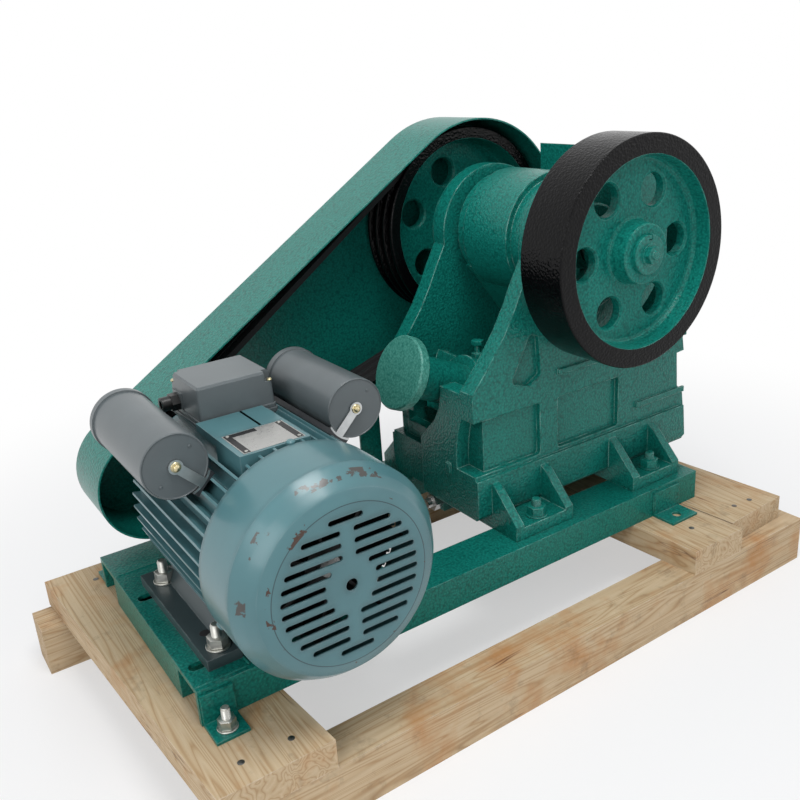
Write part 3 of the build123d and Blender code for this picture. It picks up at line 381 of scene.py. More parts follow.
def two_tone_wheel(name, limit_mm, light, dark):
    material, tree, shader, place = new_material(name)
    offset = add(tree, "ShaderNodeVectorMath", operation="SUBTRACT")
    centre = at(SHAFT[0], 0, SHAFT[1])
    link(tree, place, offset.inputs[0])
    offset.inputs[1].default_value = (centre.x, 0, centre.z)
    flat = add(tree, "ShaderNodeVectorMath", operation="MULTIPLY")
    link(tree, offset.outputs[0], flat.inputs[0])
    flat.inputs[1].default_value = (1, 0, 1)
    radius = add(tree, "ShaderNodeVectorMath", operation="LENGTH")
    link(tree, flat.outputs[0], radius.inputs[0])
    wobble = math_node(tree, "SUBTRACT", noise(tree, place, 40.0, 2.0), 0.5)
    wobble = math_node(tree, "MULTIPLY", wobble, 0.0012)
    reach = math_node(tree, "ADD", radius.outputs["Value"], wobble)
    black = math_node(tree, "GREATER_THAN", reach, limit_mm / 1000)
    paint = group_node(tree, "HammerPaint")
    link(tree, place, paint.inputs["Vector"])
    paint.inputs["Light"].default_value = (*light, 1)
    paint.inputs["Dark"].default_value = (*dark, 1)
    paint.inputs["Height"].default_value = 0.5
    paint.inputs["Round"].default_value = 0.002
    wear_and_light = group_node(tree, "EdgeWearAndHighlight")
    wear_and_light.inputs["Amount"].default_value = 0.5
    # Lighter edges are wear and a painted highlight
    green = mix_colour(tree, wear_and_light.outputs["Edge"], paint.outputs["Color"], (0.22, 0.56, 0.47))
    grain = noise(tree, place, 300.0, 2.0)
    gloss = mix_colour(tree, grain, (0.0008, 0.0008, 0.001), (0.003, 0.003, 0.0035))
    link(tree, mix_colour(tree, black, green, gloss), shader.inputs["Base Color"])
    link(tree, paint.outputs["Normal"], shader.inputs["Normal"])
    rough = add(tree, "ShaderNodeMapRange")
    rough.inputs["To Min"].default_value = 0.3
    rough.inputs["To Max"].default_value = 0.2
    link(tree, black, rough.inputs["Value"])
    link(tree, rough.outputs[0], shader.inputs["Roughness"])
    shader.inputs["Specular IOR Level"].default_value = 0.15
    return material


def sawn_wood(name, seed, stain, along_y=False, knots=()):
    material, tree, shader, place = new_material(name)
    source = place
    if along_y:
        turn = add(tree, "ShaderNodeMapping")
        turn.inputs["Rotation"].default_value = (0, 0, math.radians(90))
        link(tree, place, turn.inputs["Vector"])
        source = turn.outputs[0]
    wood = group_node(tree, "SawnPine")
    link(tree, source, wood.inputs["Vector"])
    wood.inputs["Seed"].default_value = seed
    wood.inputs["Stain"].default_value = stain
    wear_and_light = group_node(tree, "EdgeWearAndHighlight")
    wear_and_light.inputs["Amount"].default_value = 0.6
    # Lighter edges are wear and a painted highlight; darker hollows are painted shade
    shade = mix_colour(tree, wear_and_light.outputs["Edge"], wood.outputs["Color"], (0.78, 0.68, 0.54))
    hollow_shade = math_node(tree, "MULTIPLY", wear_and_light.outputs["Hollow shade"], 0.5)
    shade = mix_colour(tree, hollow_shade, shade, (0.20, 0.14, 0.09))
    for x, w, z, radius in knots:
        reach = distance_from(tree, place, at(x, w, z), (1, 1, 1))
        wavy = math_node(tree, "SUBTRACT", noise(tree, place, 120.0, 2.0), 0.5)
        wavy = math_node(tree, "MULTIPLY", wavy, 0.004)
        reach = math_node(tree, "DIVIDE", math_node(tree, "ADD", reach, wavy), radius)
        core = ramp(tree, reach, [(0.0, (1, 1, 1)), (0.55, (0.55,) * 3), (0.62, (1, 1, 1)), (0.8, (0, 0, 0))])
        shade = mix_colour(tree, math_node(tree, "MULTIPLY", core, 0.85), shade, (0.13, 0.055, 0.02))
    link(tree, shade, shader.inputs["Base Color"])
    bumps = add(tree, "ShaderNodeBump")
    bumps.inputs["Strength"].default_value = 0.45
    bumps.inputs["Distance"].default_value = 0.0012
    link(tree, wood.outputs["Height"], bumps.inputs["Height"])
    link(tree, bumps.outputs["Normal"], shader.inputs["Normal"])
    shader.inputs["Roughness"].default_value = 0.85
    return material


def distance_from(tree, place, centre, axes):
    offset = add(tree, "ShaderNodeVectorMath", operation="SUBTRACT")
    link(tree, place, offset.inputs[0])
    offset.inputs[1].default_value = centre
    flat = add(tree, "ShaderNodeVectorMath", operation="MULTIPLY")
    link(tree, offset.outputs[0], flat.inputs[0])
    flat.inputs[1].default_value = axes
    length = add(tree, "ShaderNodeVectorMath", operation="LENGTH")
    link(tree, flat.outputs[0], length.inputs[0])
    return length.outputs["Value"]


def between(tree, value, low, high):
    above = math_node(tree, "GREATER_THAN", value, low)
    below = math_node(tree, "LESS_THAN", value, high)
    return math_node(tree, "MULTIPLY", above, below)


def fan_cover_paint(name, colour):
    material = painted(name, colour, rough=0.3, coat=0.3, edge_light_and_wear=0.25, rounding=0.009)
    tree = material.node_tree
    shader = next(node for node in tree.nodes if node.type == "BSDF_PRINCIPLED")
    place = next(node for node in tree.nodes if node.type == "TEX_COORD").outputs["Object"]
    shade = shader.inputs["Base Color"].links[0].from_socket
    radius = distance_from(tree, place, at(MOTOR[0], 0, MOTOR[1]), (1, 0, 1))
    front = math_node(tree, "LESS_THAN", distance_from(tree, place, at(0, -226, 0), (0, 1, 0)), 0.012)
    seam = math_node(tree, "MULTIPLY", between(tree, radius, 0.0719, 0.0727), front)
    shade = mix_colour(tree, math_node(tree, "MULTIPLY", seam, 0.8), shade, (0.012, 0.03, 0.036))
    chips = ramp(tree, noise(tree, place, 48.0, 5.0, 0.62), [(0.575, (0, 0, 0)), (0.59, (1, 1, 1))])
    ring = math_node(tree, "MULTIPLY", between(tree, radius, 0.0705, 0.0768), front)
    edge = math_node(tree, "LESS_THAN", distance_from(tree, place, at(0, -211, 0), (0, 1, 0)), 0.004)
    ring = math_node(tree, "ADD", ring, math_node(tree, "MULTIPLY", edge, 0.8), clamp=True)
    chips = math_node(tree, "MULTIPLY", chips, ring)
    shade = mix_colour(tree, chips, shade, (0.055, 0.024, 0.014))
    link(tree, shade, shader.inputs["Base Color"])
    return material


def shaft_metal(name, light, dark):
    material, tree, shader, place = new_material(name)
    paint = group_node(tree, "HammerPaint")
    link(tree, place, paint.inputs["Vector"])
    paint.inputs["Light"].default_value = (*light, 1)
    paint.inputs["Dark"].default_value = (*dark, 1)
    away = distance_from(tree, place, at(0, -20, 0), (0, 1, 0))
    end = math_node(tree, "GREATER_THAN", away, 0.1544)
    grain = noise(tree, place, 200.0, 4.0)
    steel = mix_colour(tree, grain, (0.34, 0.34, 0.33), (0.55, 0.55, 0.54))
    link(tree, mix_colour(tree, end, steel, paint.outputs["Color"]), shader.inputs["Base Color"])
    link(tree, math_node(tree, "SUBTRACT", 1.0, end), shader.inputs["Metallic"])
    link(tree, paint.outputs["Normal"], shader.inputs["Normal"])
    shader.inputs["Roughness"].default_value = 0.3
    shader.inputs["Specular IOR Level"].default_value = 0.32
    return material


def bracket_metal(name, side_x, near_w, far_w):
    material, tree, shader, place = new_material(name)
    reach = distance_from(tree, place, at(side_x, 0, CAPACITOR_Z), (1, 0, 1))
    middle = at(0, (near_w + far_w) / 2, 0)
    along = distance_from(tree, place, middle, (0, 1, 0))
    strap = math_node(tree, "MULTIPLY", math_node(tree, "LESS_THAN", reach, 0.0312),
                      math_node(tree, "GREATER_THAN", along, (far_w - near_w) / 2000 - 0.0001))
    grain = noise(tree, place, 180.0, 4.0)
    zinc = mix_colour(tree, grain, (0.42, 0.44, 0.45), (0.66, 0.68, 0.68))
    dark = mix_colour(tree, grain, (0.018, 0.02, 0.022), (0.05, 0.055, 0.06))
    link(tree, mix_colour(tree, strap, dark, zinc), shader.inputs["Base Color"])
    link(tree, strap, shader.inputs["Metallic"])
    shader.inputs["Roughness"].default_value = 0.36
    return material


MATERIALS = {}


def make_materials(settings):
    green = (tuple(settings.green_light), tuple(settings.green_dark))
    blue = tuple(settings.motor_blue)
    make_hammer_group()
    make_wear_group()
    make_wood_group()
    MATERIALS["green"] = hammered("Green hammered paint", *green)
    # The casting gets strong lighter edges, mostly a painted highlight on its rounded edges
    MATERIALS["green_cast"] = hammered("Green paint on casting", *green, height=0.6, edge_light_and_wear=0.9,
                                       rounding=0.0028)
    MATERIALS["green_light"] = hammered("Light green hammered paint", (0.10, 0.36, 0.29), (0.01, 0.14, 0.11))
    MATERIALS["flywheel"] = two_tone_wheel("Green web and black rim", WHEEL_PAINT_RADIUS, *green)
    MATERIALS["pulley"] = two_tone_wheel("Green web and black grooved rim", PULLEY_PAINT_RADIUS, *green)
    MATERIALS["motor_blue"] = painted("Blue grey motor paint", blue, rough=0.3, coat=0.25)
    MATERIALS["fan_cover"] = fan_cover_paint("Blue grey fan cover paint", blue)
    MATERIALS["foot_grey"] = painted("Dark grey foot paint", (0.040, 0.062, 0.066), rough=0.45, coat=0.2)
    MATERIALS["manganese_steel"] = bare_metal("Manganese steel", (0.28, 0.27, 0.26), 0.5, rust=0.2)
    MATERIALS["machined_steel"] = bare_metal("Machined steel", (0.55, 0.55, 0.54), 0.3)
    MATERIALS["zinc"] = bare_metal("Zinc plate", (0.62, 0.62, 0.58), 0.38)
    MATERIALS["brass"] = bare_metal("Yellow zinc plate", (0.66, 0.58, 0.36), 0.35)
    MATERIALS["dark_steel"] = bare_metal("Oiled dark steel", (0.16, 0.16, 0.15), 0.45, rust=0.25)
    MATERIALS["grey_plastic"] = painted("Grey moulded plastic", (0.112, 0.132, 0.138), rough=0.36, coat=0.1,
                                        edge_light_and_wear=0.15, edge_colour=(0.26, 0.28, 0.29), rounding=0.0012)
    MATERIALS["black_plastic"] = painted("Black plastic", (0.01, 0.01, 0.01), rough=0.4, coat=0.1, edge_light_and_wear=0.05,
                                         edge_colour=(0.1, 0.1, 0.1))
    MATERIALS["black_rubber"] = painted("Black rubber", (0.012, 0.012, 0.013), rough=0.75, coat=0.0, edge_light_and_wear=0.2,
                                        edge_colour=(0.07, 0.07, 0.07), bump=0.3)
    MATERIALS["black_paint"] = painted("Black gloss paint", (0.006, 0.006, 0.007), rough=0.25, coat=0.1,
                                       edge_light_and_wear=0.1, edge_colour=(0.1, 0.1, 0.1), shine=0.2)
    MATERIALS["shaft"] = shaft_metal("Steel shaft with painted end", *green)
    MATERIALS["strap_left"] = bracket_metal("Left capacitor strap", LEFT_CAPACITOR_X, -105.0, 46.4)
    MATERIALS["strap_right"] = bracket_metal("Right capacitor strap", RIGHT_CAPACITOR_X, -95.0, 46.4)
    MATERIALS["plate"] = bare_metal("Plain aluminium plate", (0.62, 0.62, 0.60), 0.32)
    timbers = (("beam_front", False, 0.75), ("beam_back", False, 0.4), ("plank_left", True, 0.7),
               ("plank_inner", True, 0.55), ("plank_outer", True, 0.5))
    for index, (key, along, stain) in enumerate(timbers):
        MATERIALS[key] = sawn_wood("Sawn pine " + key, 1.7 * index + 0.3, stain, along, KNOTS.get(key, ()))


OWN_LOOK = {
    "flywheel": "flywheel",
    "pulley": "pulley",
    "skid_beam_front": "beam_front",
    "skid_beam_back": "beam_back",
    "skid_plank_left": "plank_left",
    "skid_plank_right_inner": "plank_inner",
    "skid_plank_right_outer": "plank_outer",
    "capacitor_bracket_left": "strap_left",
    "capacitor_bracket_right": "strap_right",
    "fan_cover": "fan_cover",
    "eccentric_shaft": "shaft",
    "crusher_body": "green_cast",
    "swing_jaw": "green_cast",
    "bearing_cap_near": "green_cast",
    "bearing_cap_far": "green_cast",
}


def dress_nodes():
    record = frame["record"]
    slots = {entry["node"]: entry["material_slot"] for entry in record["subparts"]}
    for name, node in frame["nodes"].items():
        key = OWN_LOOK.get(name, slots[name])
        node.data.materials.clear()
        node.data.materials.append(MATERIALS[key])


# Mesh helpers

def finish_object(name, bm, material, body="machine", smooth_angle=35.0):
    bmesh.ops.recalc_face_normals(bm, faces=bm.faces)
    mesh = bpy.data.meshes.new(name)
    bm.to_mesh(mesh)
    bm.free()
    for polygon in mesh.polygons:
        polygon.use_smooth = True
    mesh.set_sharp_from_angle(angle=math.radians(smooth_angle))
    obj = bpy.data.objects.new(name, mesh)
    bpy.context.scene.collection.objects.link(obj)
    mesh.materials.append(MATERIALS[material])
    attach(obj, body)
    return obj


def frame_of(origin, direction, up=(0, 0, 1)):
    z = Vector(direction).normalized()
    hint = Vector(up)
    if abs(z.dot(hint)) > 0.98:
        hint = Vector((1, 0, 0))
    x = hint.cross(z).normalized()
    y = z.cross(x)
    matrix = Matrix((x, y, z)).transposed().to_4x4()
    matrix.translation = origin
    return matrix


def ring_points(radius, height, count, turn=0.0):
    return [Vector((radius * math.cos(turn + 2 * math.pi * i / count),
                    radius * math.sin(turn + 2 * math.pi * i / count), height)) for i in range(count)]


def lathe(bm, matrix, profile, count=32, close_ends=True):
    rings = []
    for radius, height in profile:
        if radius < 1e-7:
            rings.append([bm.verts.new(matrix @ Vector((0, 0, height)))])
        else:
            rings.append([bm.verts.new(matrix @ p) for p in ring_points(radius, height, count)])
    for low, high in zip(rings, rings[1:]):
        for i in range(count):
            j = (i + 1) % count
            if len(low) == 1 and len(high) == 1:
                continue
            if len(low) == 1:
                bm.faces.new((low[0], high[i], high[j]))
            elif len(high) == 1:
                bm.faces.new((low[i], low[j], high[0]))
            else:
                bm.faces.new((low[i], low[j], high[j], high[i]))
    if close_ends:
        for ring in (rings[0], rings[-1]):
            if len(ring) > 2:
                bm.faces.new(ring)


def hexagon(bm, matrix, across, height, base=0.0):
    radius = across / math.sqrt(3)
    bevel = radius * 0.08
    levels = [(radius - bevel, base), (radius, base + bevel * 0.6),
              (radius, base + height - bevel * 0.6), (radius - bevel, base + height)]
    rings = [[bm.verts.new(matrix @ p) for p in ring_points(r, h, 6)] for r, h in levels]
    for low, high in zip(rings, rings[1:]):
        for i in range(6):
            j = (i + 1) % 6
            bm.faces.new((low[i], low[j], high[j], high[i]))
    bm.faces.new(rings[0])
    bm.faces.new(rings[-1])


def bolt(bm, origin, direction, across=0.017, height=0.008, stud=0.008, washer=0.011, pitch=0.0013):
    matrix = frame_of(origin, direction)
    if washer:
        profile = [(washer - 0.0003, 0.0), (washer, 0.0003), (washer, 0.0013), (washer - 0.0003, 0.0016)]
        lathe(bm, matrix, profile, 28)
    base = 0.0016 if washer else 0.0
    hexagon(bm, matrix, across, height, base)
    if stud:
        core = across * 0.29
        profile = [(core, base + height - 0.0005)]
        turns = max(2, int(stud / pitch))
        for i in range(turns):
            start = base + height + i * pitch
            profile += [(core, start), (core * 0.9, start + pitch * 0.5)]
        end = base + height + turns * pitch
        profile += [(core * 0.9, end), (core * 0.75, end + 0.0006)]
        lathe(bm, matrix, profile, 20)
    else:
        raised = across * 0.42
        lathe(bm, matrix, [(raised, base + height - 0.0002), (raised, base + height + 0.0004)], 24)


def box_mesh(bm, low, high):
    ends = ((low.x, high.x), (low.y, high.y), (low.z, high.z))
    corners = [bm.verts.new((x, y, z)) for x in ends[0] for y in ends[1] for z in ends[2]]
    for face in ((0, 1, 3, 2), (4, 6, 7, 5), (0, 4, 5, 1), (2, 3, 7, 6), (0, 2, 6, 4), (1, 5, 7, 3)):
        bm.faces.new([corners[i] for i in face])


def bead(bm, start, end, radius, seed=1, step=0.004):
    rng = random.Random(seed)
    along = end - start
    count = max(3, int(along.length / step))
    matrix = frame_of(start, along)
    profile = []
    for i in range(count + 1):
        height = along.length * i / count
        swell = radius * (0.85 + 0.3 * rng.random())
        profile.append((swell if 0 < i < count else radius * 0.4, height))
        if i < count:
            profile.append((radius * 0.78, height + along.length * 0.5 / count))
    lathe(bm, matrix, profile, 10)


class CrusherSettings(bpy.types.PropertyGroup):
    green_light: FloatVectorProperty(name="Light green", description="Lighter shade of the hammered paint",
                                     size=3, default=GREEN_LIGHT, subtype="COLOR")
    green_dark: FloatVectorProperty(name="Dark green", description="Darker shade of the hammered paint",
                                    size=3, default=GREEN_DARK, subtype="COLOR")
    motor_blue: FloatVectorProperty(name="Motor blue", description="Paint of the motor and its fan cover",
                                    size=3, default=MOTOR_BLUE, subtype="COLOR")
    lens: FloatProperty(name="Lens", description="Focal length of the photo's camera", default=39.482,
                        unit="CAMERA")
    shift: FloatVectorProperty(name="Shift", description="Lens shift of the photo's camera", size=2,
                               default=(-0.0159, -0.0177))
    eye: FloatVectorProperty(name="Eye", description="Place of the photo's camera", size=3,
                             default=(-0.5115, -0.75675, 0.6153), subtype="TRANSLATION")
    floor_tone: FloatProperty(name="Floor tone", description="Brightness of the pale floor", default=0.86,
                              min=0.0, max=1.0, subtype="FACTOR")
    light_power: FloatProperty(name="Light power", description="Power of the main soft light in watts",
                               default=12.5, unit="POWER")
    nail_radius: FloatProperty(name="Nail head", description="Radius of the skid's nail heads",
                               default=0.0032, unit="LENGTH")
    seed: IntProperty(name="Seed", description="Seed of the small irregularities", default=7)


class CRUSHER_OT_materials(bpy.types.Operator):
    """Makes the materials and puts them on the modelled parts"""
    bl_idname = "crusher.materials"
    bl_label = "Materials"

    def execute(self, context):
        make_materials(context.scene.crusher_settings)
        dress_nodes()
        return {"FINISHED"}


class CRUSHER_OT_base_fasteners(bpy.types.Operator):
    """Adds the studs, nuts and bolts of the base frame, the motor and the crusher's feet"""
    bl_idname = "crusher.base_fasteners"
    bl_label = "Base fasteners"

    def execute(self, context):
        bm = bmesh.new()
        for x in FOOT_STUD_X:
            for side in (-1, 1):
                bolt(bm, at(x, side * FOOT_STUD_W, FOOT_STUD_Z), (0, 0, 1), 0.019, 0.010, 0.008, 0.0125)
        finish_object("foot_studs", bm, "green")
        bm = bmesh.new()
        for x in MOTOR_BOLT_X:
            for w in MOTOR_BOLT_W:
                bolt(bm, at(x, w, MOTOR_FOOT_TOP), (0, 0, 1), 0.017, 0.010, 0.012, 0.0115)
        finish_object("motor_foot_bolts", bm, "zinc")
        bm = bmesh.new()
        for side in (-1, 1):
            bolt(bm, at(ANCHOR_X, side * ANCHOR_W, ANCHOR_Z), (0, 0, 1), 0.0145, 0.009, 0.011, 0.0095)
        finish_object("anchor_bolts", bm, "zinc")
        return {"FINISHED"}


class CRUSHER_OT_shaft_ends(bpy.types.Operator):
    """Adds the shaft end washer and centre mark, the key, and the bearings' cap bolts and flanges"""
    bl_idname = "crusher.shaft_ends"
    bl_label = "Shaft ends"

    def execute(self, context):
        bm = bmesh.new()
        matrix = frame_of(at(SHAFT[0], SHAFT_END_W, SHAFT[1]), (0, -1, 0))
        lathe(bm, matrix, [(0.0042, 0.0), (0.0040, 0.0005), (0.0012, 0.0006), (0.0, -0.0008)], 20)
        lathe(bm, frame_of(at(SHAFT[0], -179.4, SHAFT[1]), (0, -1, 0)),
              [(0.0118, 0.0), (0.0118, 0.0009), (0.0092, 0.0013)], 40)
        finish_object("shaft_end_washer", bm, "green", "rotor")
        bm = bmesh.new()
        key = at(SHAFT[0], -177.6, SHAFT[1] + 17.6)
        box_mesh(bm, key + Vector((-0.0028, -0.0012, -0.002)), key + Vector((0.0028, 0.003, 0.0021)))
        finish_object("flywheel_key", bm, "green", "rotor")
        bm = bmesh.new()
        for side in (-1, 1):
            for index in range(4):
                angle = math.radians(45 + 90 * index)
                across = CAP_BOLT_CIRCLE * math.cos(angle)
                above = CAP_BOLT_CIRCLE * math.sin(angle)
                place = at(SHAFT[0] + across, side * CAP_FACE_W, SHAFT[1] + above)
                bolt(bm, place, (0, side, 0), 0.010, 0.0055, 0.0, 0.0065)
        finish_object("bearing_cap_bolts", bm, "green")
        bm = bmesh.new()
        for side in (-1, 1):
            lathe(bm, frame_of(at(SHAFT[0], side * FLANGE_SEAT_W, SHAFT[1]), (0, side, 0)),
                  [(0.0440, 0.0), (0.0725, 0.0), (0.0740, 0.0015), (0.0740, 0.0075), (0.0725, 0.0090),
                   (0.0500, 0.0105), (0.0440, 0.0105)], 72, close_ends=False)
        finish_object("bearing_flanges", bm, "green_cast")
        return {"FINISHED"}


class CRUSHER_OT_motor_trim(bpy.types.Operator):
    """Adds the motor's screws, blank plate with its pad, and foot hole shadows"""
    bl_idname = "crusher.motor_trim"
    bl_label = "Motor trim"

    def execute(self, context):
        bm = bmesh.new()
        for x, w in ((152.4, -28.0), (80.6, 37.8)):
            lathe(bm, frame_of(at(x, w, 253.0), (0, 0, 1)),
                  [(0.0027, 0.0), (0.0029, 0.0010), (0.0022, 0.0019), (0.0, 0.0021)], 20)
        finish_object("lid_screws", bm, "brass")
        bm = bmesh.new()
        for x, near, far in ((LEFT_CAPACITOR_X, -106.5, 47.9), (RIGHT_CAPACITOR_X, -96.5, 47.9)):
            for w, way in ((near, -1), (far, 1)):
                matrix = frame_of(at(x, w, CAPACITOR_Z), (0, way, 0))
                lathe(bm, matrix, [(0.0044, 0.0), (0.0046, 0.0004), (0.0042, 0.0010), (0.0030, 0.0012),
                                   (0.0029, 0.0030), (0.0015, 0.0042), (0.0, 0.0044)], 24)
        finish_object("capacitor_screws", bm, "brass")
        bm = bmesh.new()
        for x, near in ((LEFT_CAPACITOR_X, -104.4), (RIGHT_CAPACITOR_X, -94.4)):
            for way in (-1, 1):
                place = at(x + way * 14.5, near, CAPACITOR_Z + way * 14.5)
                lathe(bm, frame_of(place, (0, -1, 0)), [(0.0016, 0.0), (0.0013, 0.0005), (0.0, 0.0007)], 14)
        finish_object("capacitor_pips", bm, "grey_plastic")
        bm = bmesh.new()
        low = at(PLATE_X[0], PLATE_W[0], PAD_TOP)
        high = at(PLATE_X[1], PLATE_W[1], PAD_TOP + 0.4)
        box_mesh(bm, low, high)
        finish_object("blank_plate", bm, "plate")
        bm = bmesh.new()
        bands = ((78.0, 84.0, -129.0, -83.0), (128.5, 134.5, -129.0, -83.0), (84.0, 108.0, -90.0, -83.0))
        for x0, x1, w0, w1 in bands:
            box_mesh(bm, at(x0, w0, PAD_TOP + 0.38), at(x1, w1, PAD_TOP + 0.5))
        finish_object("plate_bands", bm, "black_paint")
        bm = bmesh.new()
        for x in (81.0, 131.5):
            for w in (-126.0, -86.0):
                matrix = frame_of(at(x, w, PAD_TOP + 0.45), (0, 0, 1))
                lathe(bm, matrix, [(0.0017, 0.0), (0.0016, 0.0006), (0.0, 0.0011)], 14)
        finish_object("plate_rivets", bm, "zinc")
        bm = bmesh.new()
        for degrees in (90, 210, 330):
            angle = math.radians(degrees)
            outward = Vector((math.cos(angle), 0, math.sin(angle)))
            place = at(MOTOR[0], COVER_SCREW_W, MOTOR[1]) + outward * 0.0976
            profile = [(0.0042, 0.0), (0.0042, 0.0012), (0.0030, 0.0024), (0.0, 0.0028)]
            lathe(bm, frame_of(place, outward), profile, 24)
        finish_object("cover_screws", bm, "motor_blue")
        bm = bmesh.new()
        box_mesh(bm, at(72.0, -79.0, 224.0), at(139.0, -33.8, PAD_TOP))
        finish_object("name_pad_back", bm, "motor_blue")
        bm = bmesh.new()
        for x in FOOT_HOLE_X:
            matrix = frame_of(at(x, FOOT_HOLE_W, MOTOR_FOOT_TOP - 0.05), (0, 0, 1))
            lathe(bm, matrix, [(0.0052, 0.0), (0.0052, 0.0002), (0.0046, 0.0003), (0.0, 0.0003)], 28)
        finish_object("foot_hole_shadows", bm, "black_rubber")
        return {"FINISHED"}


class CRUSHER_OT_adjuster_trim(bpy.types.Operator):
    """Adds the upright lock bolt of the adjuster's boss"""
    bl_idname = "crusher.adjuster_trim"
    bl_label = "Adjuster trim"

    def execute(self, context):
        bm = bmesh.new()
        foot = at(*LOCK_BOLT)
        matrix = frame_of(foot, (0, 0, 1))
        lathe(bm, matrix, [(0.0038, -0.003), (0.0038, 0.022), (0.0033, 0.0228)], 20)
        lathe(bm, matrix, [(0.0085, 0.0045), (0.0088, 0.0050), (0.0088, 0.0062), (0.0085, 0.0066)], 24)
        hexagon(bm, matrix, 0.013, 0.0065, 0.0066)
        hexagon(bm, matrix, 0.013, 0.0055, 0.0225)
        finish_object("lock_bolt", bm, "green")
        return {"FINISHED"}


class CRUSHER_OT_skid_trim(bpy.types.Operator):
    """Adds nail heads to the skid"""
    bl_idname = "crusher.skid_trim"
    bl_label = "Skid trim"

    def execute(self, context):
        radius = context.scene.crusher_settings.nail_radius
        bm = bmesh.new()
        nails = [(9.4, -203.7), (55.2, -204.8), (-5.2, 165), (40, 172), (589.2, -191.3), (670.8, -189.5),
                 (697.5, -191.5), (540, 168), (590, 172), (640, 165), (695, 170)]
        for x, w in nails:
            matrix = frame_of(at(x, w, 0.0), (0, 0, 1))
            profile = [(radius, -0.0006), (radius, 0.0002), (radius * 0.8, 0.0005), (0.0, 0.0006)]
            lathe(bm, matrix, profile, 16)
        finish_object("nail_heads", bm, "dark_steel")
        return {"FINISHED"}


class CRUSHER_OT_welds(bpy.types.Operator):
    """Adds weld beads where the rails and tabs meet the channels"""
    bl_idname = "crusher.welds"
    bl_label = "Weld beads"

    def execute(self, context):
        bm = bmesh.new()
        seed = context.scene.crusher_settings.seed
        runs = [((52.6, -137.0, 36.2), (52.6, -91.0, 36.2)), ((1.0, -137.8, 36.2), (52.0, -137.8, 36.2)),
                ((180.3, -137.0, 36.2), (180.3, -91.0, 36.2)), ((180.6, -137.8, 36.2), (232.6, -137.8, 36.2)),
                ((577.0, -144.2, 4.0), (577.0, -144.2, 30.0)), ((1.0, 90.4, 36.0), (52.0, 90.4, 36.0)),
                ((181.0, 90.4, 36.0), (232.0, 90.4, 36.0))]
        for index, (start, end) in enumerate(runs):
            bead(bm, at(*start), at(*end), 0.0016, seed + index)
        finish_object("weld_beads", bm, "green", smooth_angle=60.0)
        return {"FINISHED"}


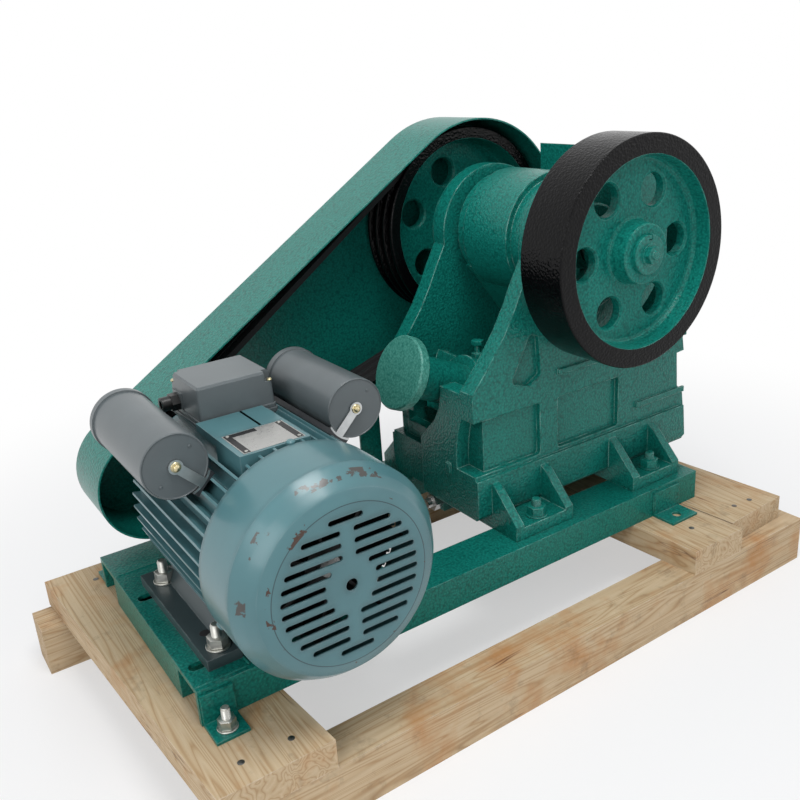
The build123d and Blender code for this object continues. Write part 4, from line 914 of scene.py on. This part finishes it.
class CRUSHER_OT_stage(bpy.types.Operator):
    """Sets the floor, the soft lights, the white backdrop and the photo's camera"""
    bl_idname = "crusher.stage"
    bl_label = "Stage"

    def execute(self, context):
        scene = context.scene
        settings = scene.crusher_settings
        mesh = bpy.data.meshes.new("floor")
        size = 6.0
        corners = [(-size, -size, 0), (size, -size, 0), (size, size, 0), (-size, size, 0)]
        mesh.from_pydata(corners, [], [(0, 1, 2, 3)])
        floor = bpy.data.objects.new("floor", mesh)
        scene.collection.objects.link(floor)
        material, tree, shader, place = new_material("Pale floor")
        tone = settings.floor_tone
        shader.inputs["Base Color"].default_value = (tone, tone, tone, 1)
        shader.inputs["Roughness"].default_value = 0.9
        white = add(tree, "ShaderNodeEmission")
        white.inputs["Strength"].default_value = 1.0
        seen = add(tree, "ShaderNodeLightPath")
        rays = seen.outputs["Is Camera Ray"]
        for name in ("Is Glossy Ray", "Is Transmission Ray"):
            rays = math_node(tree, "ADD", rays, seen.outputs[name], clamp=True)
        away = distance_from(tree, place, (0, 0, 0), (1, 1, 1))
        fade = add(tree, "ShaderNodeMapRange", interpolation_type="SMOOTHSTEP")
        fade.inputs["From Min"].default_value = 0.35
        fade.inputs["From Max"].default_value = 1.1
        fade.inputs["To Min"].default_value = 0.5
        fade.inputs["To Max"].default_value = 1.0
        link(tree, away, fade.inputs["Value"])
        blend = add(tree, "ShaderNodeMixShader")
        link(tree, math_node(tree, "MULTIPLY", rays, fade.outputs[0]), blend.inputs[0])
        link(tree, shader.outputs[0], blend.inputs[1])
        link(tree, white.outputs[0], blend.inputs[2])
        surface = next(node for node in tree.nodes if node.type == "OUTPUT_MATERIAL")
        link(tree, blend.outputs[0], surface.inputs["Surface"])
        mesh.materials.append(material)
        lamps = (("light_top", (-0.15, -0.45, 1.7), settings.light_power, 0.6),
                 ("light_left", (-1.6, -0.9, 1.1), settings.light_power * 0.85, 1.1),
                 ("light_right", (1.2, -1.4, 1.0), settings.light_power * 0.25, 1.0))
        for name, place, energy, width in lamps:
            lamp = bpy.data.lights.new(name, "AREA")
            lamp.energy = energy
            lamp.size = width
            obj = bpy.data.objects.new(name, lamp)
            scene.collection.objects.link(obj)
            direction = Vector((0.0, 0.0, 0.25)) - Vector(place)
            turn = direction.to_track_quat("-Z", "Y").to_matrix().to_4x4()
            obj.matrix_world = Matrix.Translation(place) @ turn
        world = bpy.data.worlds.new("backdrop")
        scene.world = world
        world.use_nodes = True
        tree = world.node_tree
        tree.nodes.clear()
        output = add(tree, "ShaderNodeOutputWorld")
        soft = add(tree, "ShaderNodeBackground")
        soft.inputs["Color"].default_value = (0.93, 0.95, 1.0, 1)
        soft.inputs["Strength"].default_value = 0.52
        white = add(tree, "ShaderNodeBackground")
        white.inputs["Color"].default_value = (1, 1, 1, 1)
        white.inputs["Strength"].default_value = 1.0
        path = add(tree, "ShaderNodeLightPath")
        rays = (path.outputs["Is Camera Ray"], path.outputs["Is Glossy Ray"])
        seen = math_node(tree, "ADD", *rays, clamp=True)
        mixer = add(tree, "ShaderNodeMixShader")
        link(tree, seen, mixer.inputs[0])
        link(tree, soft.outputs[0], mixer.inputs[1])
        link(tree, white.outputs[0], mixer.inputs[2])
        link(tree, mixer.outputs[0], output.inputs["Surface"])
        camera = bpy.data.cameras.new("photo_camera")
        camera.lens = settings.lens
        camera.sensor_width = 36.0
        camera.shift_x = settings.shift[0]
        camera.shift_y = settings.shift[1]
        camera.clip_start = 0.01
        eye = bpy.data.objects.new("photo_camera", camera)
        scene.collection.objects.link(eye)
        right = Vector((0.82136, -0.56729, -0.05951))
        up = Vector((0.24095, 0.25051, 0.93764))
        back = Vector((-0.51701, -0.78449, 0.34245))
        matrix = Matrix((right, up, back)).transposed().to_4x4()
        matrix.translation = Vector(settings.eye)
        eye.matrix_world = matrix
        scene.camera = eye
        scene.view_settings.view_transform = "Standard"
        return {"FINISHED"}


class CRUSHER_PT_panel(bpy.types.Panel):
    bl_label = "Jaw crusher"
    bl_idname = "CRUSHER_PT_panel"
    bl_space_type = "VIEW_3D"
    bl_region_type = "UI"
    bl_category = "Crusher"

    def draw(self, context):
        layout = self.layout
        settings = context.scene.crusher_settings
        for name in ("green_light", "green_dark", "motor_blue", "lens", "shift", "eye", "floor_tone",
                     "light_power", "nail_radius", "seed"):
            layout.prop(settings, name)
        for operator in STEPS:
            layout.operator(operator.bl_idname)


STEPS = (CRUSHER_OT_materials, CRUSHER_OT_base_fasteners, CRUSHER_OT_shaft_ends, CRUSHER_OT_motor_trim,
         CRUSHER_OT_adjuster_trim, CRUSHER_OT_skid_trim, CRUSHER_OT_welds, CRUSHER_OT_stage)
CLASSES = (CrusherSettings,) + STEPS + (CRUSHER_PT_panel,)


def register():
    for cls in CLASSES:
        bpy.utils.register_class(cls)
    bpy.types.Scene.crusher_settings = PointerProperty(type=CrusherSettings)


def unregister():
    del bpy.types.Scene.crusher_settings
    for cls in reversed(CLASSES):
        bpy.utils.unregister_class(cls)


def main():
    register()
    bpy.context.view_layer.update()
    bpy.ops.crusher.materials()
    bpy.ops.crusher.base_fasteners()
    bpy.ops.crusher.shaft_ends()
    bpy.ops.crusher.motor_trim()
    bpy.ops.crusher.adjuster_trim()
    bpy.ops.crusher.skid_trim()
    bpy.ops.crusher.welds()
    bpy.ops.crusher.stage()


if __name__ == "__main__":
    main()
